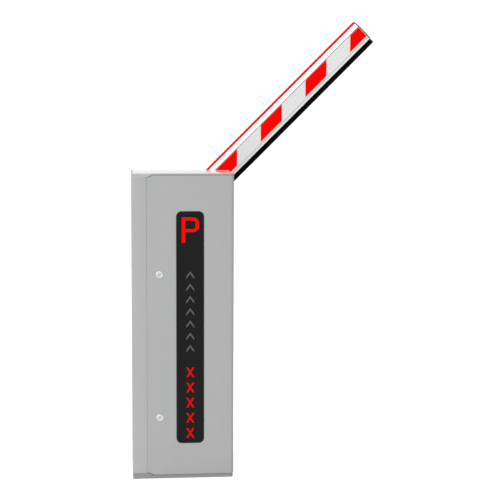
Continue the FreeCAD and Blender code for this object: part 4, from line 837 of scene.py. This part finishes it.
class BARRIER_OT_locks(bpy.types.Operator):
    """Turned lock faces"""
    bl_idname = "barrier.locks"
    bl_label = "Locks"

    def execute(self, context):
        front = -0.150
        for name, joint in (("lock_rose_lower", "lower_lock_turn"), ("lock_rose_upper", "upper_lock_turn")):
            centre = np.array(JOINTS[joint]["pos_m"], float)
            centre[1] = front
            profile = [(0.00705, 0.0060), (0.00705, -0.0011), (0.0073, -0.00145), (0.0078, -0.0016),
                       (0.0086, -0.0016), (0.0089, -0.0013), (0.0092, -0.0013), (0.0095, -0.0016),
                       (0.0103, -0.0016), (0.0110, -0.0012),
                       (0.0114, -0.0005), (0.0114, 0.0), (0.0096, 0.0), (0.0094, 0.0003), (0.0094, 0.0019),
                       (0.0140, 0.0020), (0.0140, 0.0058), (0.0137, 0.0061), (0.0096, 0.0061),
                       (0.0095, 0.0225),
                       (0.00705, 0.0225), (0.00705, 0.0060)]
            obj = turned(name, profile, centre, 72)
            nodes = ["lock_bodies"] if name.endswith("lower") else []
            finish_piece(obj, "door", finish_for("chrome_lock"), nodes, "chrome_lock")
        for node in ("lock_core_lower", "lock_core_upper"):
            obj = softened(node, node + "_key", 0.0003)
            finish_piece(obj, body_of(node), finish_for("chrome_core"), [node])
        return {"FINISHED"}


class BARRIER_OT_display(bpy.types.Operator):
    """Face plate with its seal"""
    bl_idname = "barrier.display"
    bl_label = "Display"

    def execute(self, context):
        display = context.scene.barrier_display
        obj = softened("display_face", "display_face_plate", 0.0003)
        finish_piece(obj, "door", finish_for("face_black"), ["display_face"])
        self.seal(display)
        return {"FINISHED"}

    def seal(self, display):
        """Soft seal round the face: a small rounded profile carried round a rounded rectangle."""
        low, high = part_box("display_face")
        corner = 0.018
        rim = display.rim
        window = [(low[0], low[2]), (high[0], low[2]), (high[0], high[2]), (low[0], high[2])]
        outline = rounded_loop(window, corner, 14)
        ahead = np.roll(outline, -1, axis=0) - np.roll(outline, 1, axis=0)
        ahead /= np.linalg.norm(ahead, axis=1, keepdims=True)
        out = np.stack([ahead[:, 1], -ahead[:, 0]], axis=1)
        section = rounded_loop([(-rim, -0.0005), (0.0004, -0.0005), (0.0004, 0.0006), (-rim, 0.0006)],
                               0.0003, 4)
        across = outline[:, None, :] + out[:, None, :] * section[None, :, :1]
        ahead_of_face = low[1] + np.broadcast_to(section[None, :, 1], across.shape[:2])
        points = np.stack([across[..., 0], ahead_of_face, across[..., 1]], axis=-1)
        faces = grid_faces(len(outline), len(section), wrap_rows=True, wrap_cols=True)
        obj = outward(new_object("display_seal", points.reshape(-1, 3), faces, 50.0))
        seal = material("Finish seal", "rubber", (0.008, 0.008, 0.008), {"Roughness": 0.5}, {}, 0.0001, 0.3)
        finish_piece(obj, "door", seal, slot="abs_black")


class BARRIER_OT_louvres(bpy.types.Operator):
    """Pressed hoods over the rear vent slots"""
    bl_idname = "barrier.louvres"
    bl_label = "Rear louvres"

    def execute(self, context):
        paint = finish_for("paint_body")
        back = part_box("cabinet_shell")[1][1]
        pitch = 0.014
        half = 0.064
        for row, z0 in (("upper", 0.560), ("lower", 0.090)):
            for k in range(6):
                z = z0 + pitch * k
                obj = self.hood("louvre_" + row + "_" + str(k + 1), -half, half, back, z)
                finish_piece(obj, "cabinet", paint, slot="paint_body")
        return {"FINISHED"}

    def hood(self, name, x0, x1, y, z):
        """Quarter-round hood: it stands out by o sin(v) and falls by h (1 - cos(v)) over a quarter turn.

        u runs along the slot from -1 to 1, and both are scaled by the end fade, the root of 1 - u^8.
        The small lead keeps the top edge just off the wall.
        """
        height = 0.0085
        stand = 0.0052
        lead = 0.02
        sheet = 0.0008
        u = np.linspace(-1, 1, 41)
        v = np.linspace(0, 1, 9)
        uu, vv = np.meshgrid(u, v, indexing="ij")
        fade = np.power(np.clip(1 - np.abs(uu) ** 8, 0, 1), 0.5)
        x = (x0 + x1) / 2 + (x1 - x0) / 2 * uu
        out = stand * fade * np.sin(vv * np.pi / 2 + lead)
        top = z + height - height * fade * (1 - np.cos(vv * np.pi / 2))
        points = np.stack([x, y + out, top], axis=-1).reshape(-1, 3)
        obj = new_object(name, points, grid_faces(len(u), len(v)), 60.0)
        outward(obj)
        wall = obj.modifiers.new("Sheet", "SOLIDIFY")
        wall.thickness = sheet
        wall.offset = -1.0
        return obj


class BARRIER_OT_hardware(bpy.types.Operator):
    """Round the edges of the visible hardware and the mechanism"""
    bl_idname = "barrier.hardware"
    bl_label = "Hardware and mechanism"

    def execute(self, context):
        sizes = {"boom_end_caps": 0.0008, "boom_cradle": 0.0006, "boom_clamp_plate": 0.0006,
                 "boom_clamp_bolts": 0.0004, "boom_hub": 0.0008, "lid_screws": 0.0002,
                 "rocker_lever": 0.0008, "crank_arm": 0.0008, "rod_ends": 0.0004, "rod_link": 0.0004,
                 "spring_hanger": 0.0008, "gearbox_housing": 0.0008, "motor": 0.0006,
                 "hand_wheel": 0.0010, "bearing_housings": 0.0006, "mech_frame": 0.0006,
                 "power_supply": 0.0005, "breaker": 0.0005, "terminal_blocks": 0.0003,
                 "breaker_toggle": 0.0004, "limit_cam": 0.0004, "limit_switches": 0.0004,
                 "control_parts": 0.0003, "lever_pins": 0.0004, "output_shaft": 0.0004,
                 "main_shaft": 0.0006, "display_housing": 0.0004, "display_rear_cover": 0.0004,
                 "buffer_rubbers": 0.0008, "button_open": 0.0003, "button_close": 0.0003,
                 "frame_brackets": 0.0004, "electrics_plate": 0.0004}
        for node, radius in sizes.items():
            obj = softened(node, node + "_eased", radius)
            finish_piece(obj, body_of(node), finish_for(SLOT_OF[node]), [node])
        return {"FINISHED"}


class BARRIER_OT_stage(bpy.types.Operator):
    """Floor, light and camera"""
    bl_idname = "barrier.stage"
    bl_label = "Studio"

    def execute(self, context):
        stage = context.scene.barrier_stage
        self.floor(stage)
        self.world(context.scene, stage)
        self.lamp("key", (-3.4, -3.0, 2.6), (0.0, 0.0, 0.7), 2.0, 27.0)
        self.lamp("fill", (-1.6, -5.0, 2.4), (0.0, 0.0, 0.8), 2.0, 12.5)
        self.lamp("top", (0.2, 0.6, 4.2), (0.1, 0.0, 0.6), 2.6, 34.0)
        self.lamp("side", (-4.2, 0.6, 1.6), (-0.17, 0.0, 0.6), 1.6, 34.0)
        self.camera(context.scene, stage)
        context.scene.view_settings.view_transform = "Standard"
        return {"FINISHED"}

    def floor(self, stage):
        """Flat square on a grid; its glow is stronger to the camera than to the other pieces."""
        side = np.linspace(-stage.floor, stage.floor, 9)
        xx, yy = np.meshgrid(side, side, indexing="ij")
        points = np.stack([xx, yy, np.zeros_like(xx)], axis=-1).reshape(-1, 3)
        obj = new_object("studio_floor", points, grid_faces(9, 9))
        obj.data.flip_normals()
        made = material("Studio floor", "plastic", (0.60, 0.60, 0.60), {"Grain": 60.0, "Roughness": 0.9},
                        {"Specular IOR Level": 0.0}, 0.0001, 0.05, glow=1.1)
        tree = made.node_tree
        seen = tree.nodes.new("ShaderNodeLightPath").outputs["Is Camera Ray"]
        glow = ramp(tree, seen, 0.0, 1.0, 0.75, 1.3)
        tree.links.new(glow, tree.nodes["Principled BSDF"].inputs["Emission Strength"])
        obj.data.materials.append(made)

    def world(self, scene, stage):
        world = bpy.data.worlds.new("Studio")
        scene.world = world
        world.use_nodes = True
        tree = world.node_tree
        ambient = tree.nodes["Background"]
        ambient.inputs["Color"].default_value = (1.0, 1.0, 1.0, 1.0)
        direction = tree.nodes.new("ShaderNodeTexCoord").outputs["Generated"]
        aim = add(tree, "ShaderNodeSeparateXYZ", {"Vector": direction})
        share = ramp(tree, aim.outputs["X"], -1.0, 1.0, 1.0 + stage.lean, 1.0 - stage.lean)
        tree.links.new(maths(tree, "MULTIPLY", share, stage.ambient), ambient.inputs["Strength"])
        backdrop = add(tree, "ShaderNodeBackground",
                       {"Color": (1.0, 1.0, 1.0, 1.0), "Strength": stage.backdrop})
        seen = tree.nodes.new("ShaderNodeLightPath").outputs["Is Camera Ray"]
        choice = add(tree, "ShaderNodeMixShader", {0: seen, 1: ambient.outputs[0], 2: backdrop.outputs[0]})
        tree.links.new(choice.outputs[0], tree.nodes["World Output"].inputs["Surface"])

    def lamp(self, name, place, target, size, power):
        light = bpy.data.lights.new(name, "AREA")
        light.shape = "RECTANGLE"
        light.size = size
        light.size_y = size
        light.energy = power
        obj = bpy.data.objects.new(name, light)
        obj.location = place
        obj.rotation_euler = (Vector(target) - Vector(place)).to_track_quat("-Z", "Y").to_euler()
        bpy.context.scene.collection.objects.link(obj)

    def camera(self, scene, stage):
        lens = bpy.data.cameras.new("Camera")
        lens.lens = stage.lens
        lens.sensor_width = 36.0
        lens.clip_end = 100.0
        obj = bpy.data.objects.new("Camera", lens)
        obj.location = (-0.1824, -4.3023, 1.1958)
        obj.rotation_euler = Euler((math.radians(84.187), math.radians(-0.224), math.radians(-5.553)))
        scene.collection.objects.link(obj)
        scene.camera = obj


class BARRIER_PT_panel(bpy.types.Panel):
    """Lists the steps that build the barrier gate"""
    bl_idname = "BARRIER_PT_panel"
    bl_label = "Barrier gate"
    bl_space_type = "VIEW_3D"
    bl_region_type = "UI"
    bl_category = "Barrier gate"

    def draw(self, context):
        for step in STEPS:
            self.layout.operator(step.bl_idname)
        for label in GROUPS_OF_SETTINGS:
            group = getattr(context.scene, label)
            box = self.layout.box()
            for name in group.bl_rna.properties.keys():
                if name not in ("rna_type", "name"):
                    box.prop(group, name)


GROUPS_OF_SETTINGS = {"barrier_cabinet": BARRIER_PG_cabinet, "barrier_display": BARRIER_PG_display,
                      "barrier_boom": BARRIER_PG_boom, "barrier_stage": BARRIER_PG_stage}
STEPS = [BARRIER_OT_finishes, BARRIER_OT_cabinet, BARRIER_OT_boom, BARRIER_OT_springs, BARRIER_OT_locks,
         BARRIER_OT_display, BARRIER_OT_louvres, BARRIER_OT_hardware, BARRIER_OT_stage]


def register():
    for item in list(GROUPS_OF_SETTINGS.values()) + STEPS + [BARRIER_PT_panel]:
        bpy.utils.register_class(item)
    for name, group in GROUPS_OF_SETTINGS.items():
        setattr(bpy.types.Scene, name, PointerProperty(type=group))


def unregister():
    for name in GROUPS_OF_SETTINGS:
        delattr(bpy.types.Scene, name)
    for item in reversed(list(GROUPS_OF_SETTINGS.values()) + STEPS + [BARRIER_PT_panel]):
        bpy.utils.unregister_class(item)


def main():
    register()
    for step in STEPS:
        family, action = step.bl_idname.split(".")
        getattr(getattr(bpy.ops, family), action)()


if __name__ == "__main__":
    main()
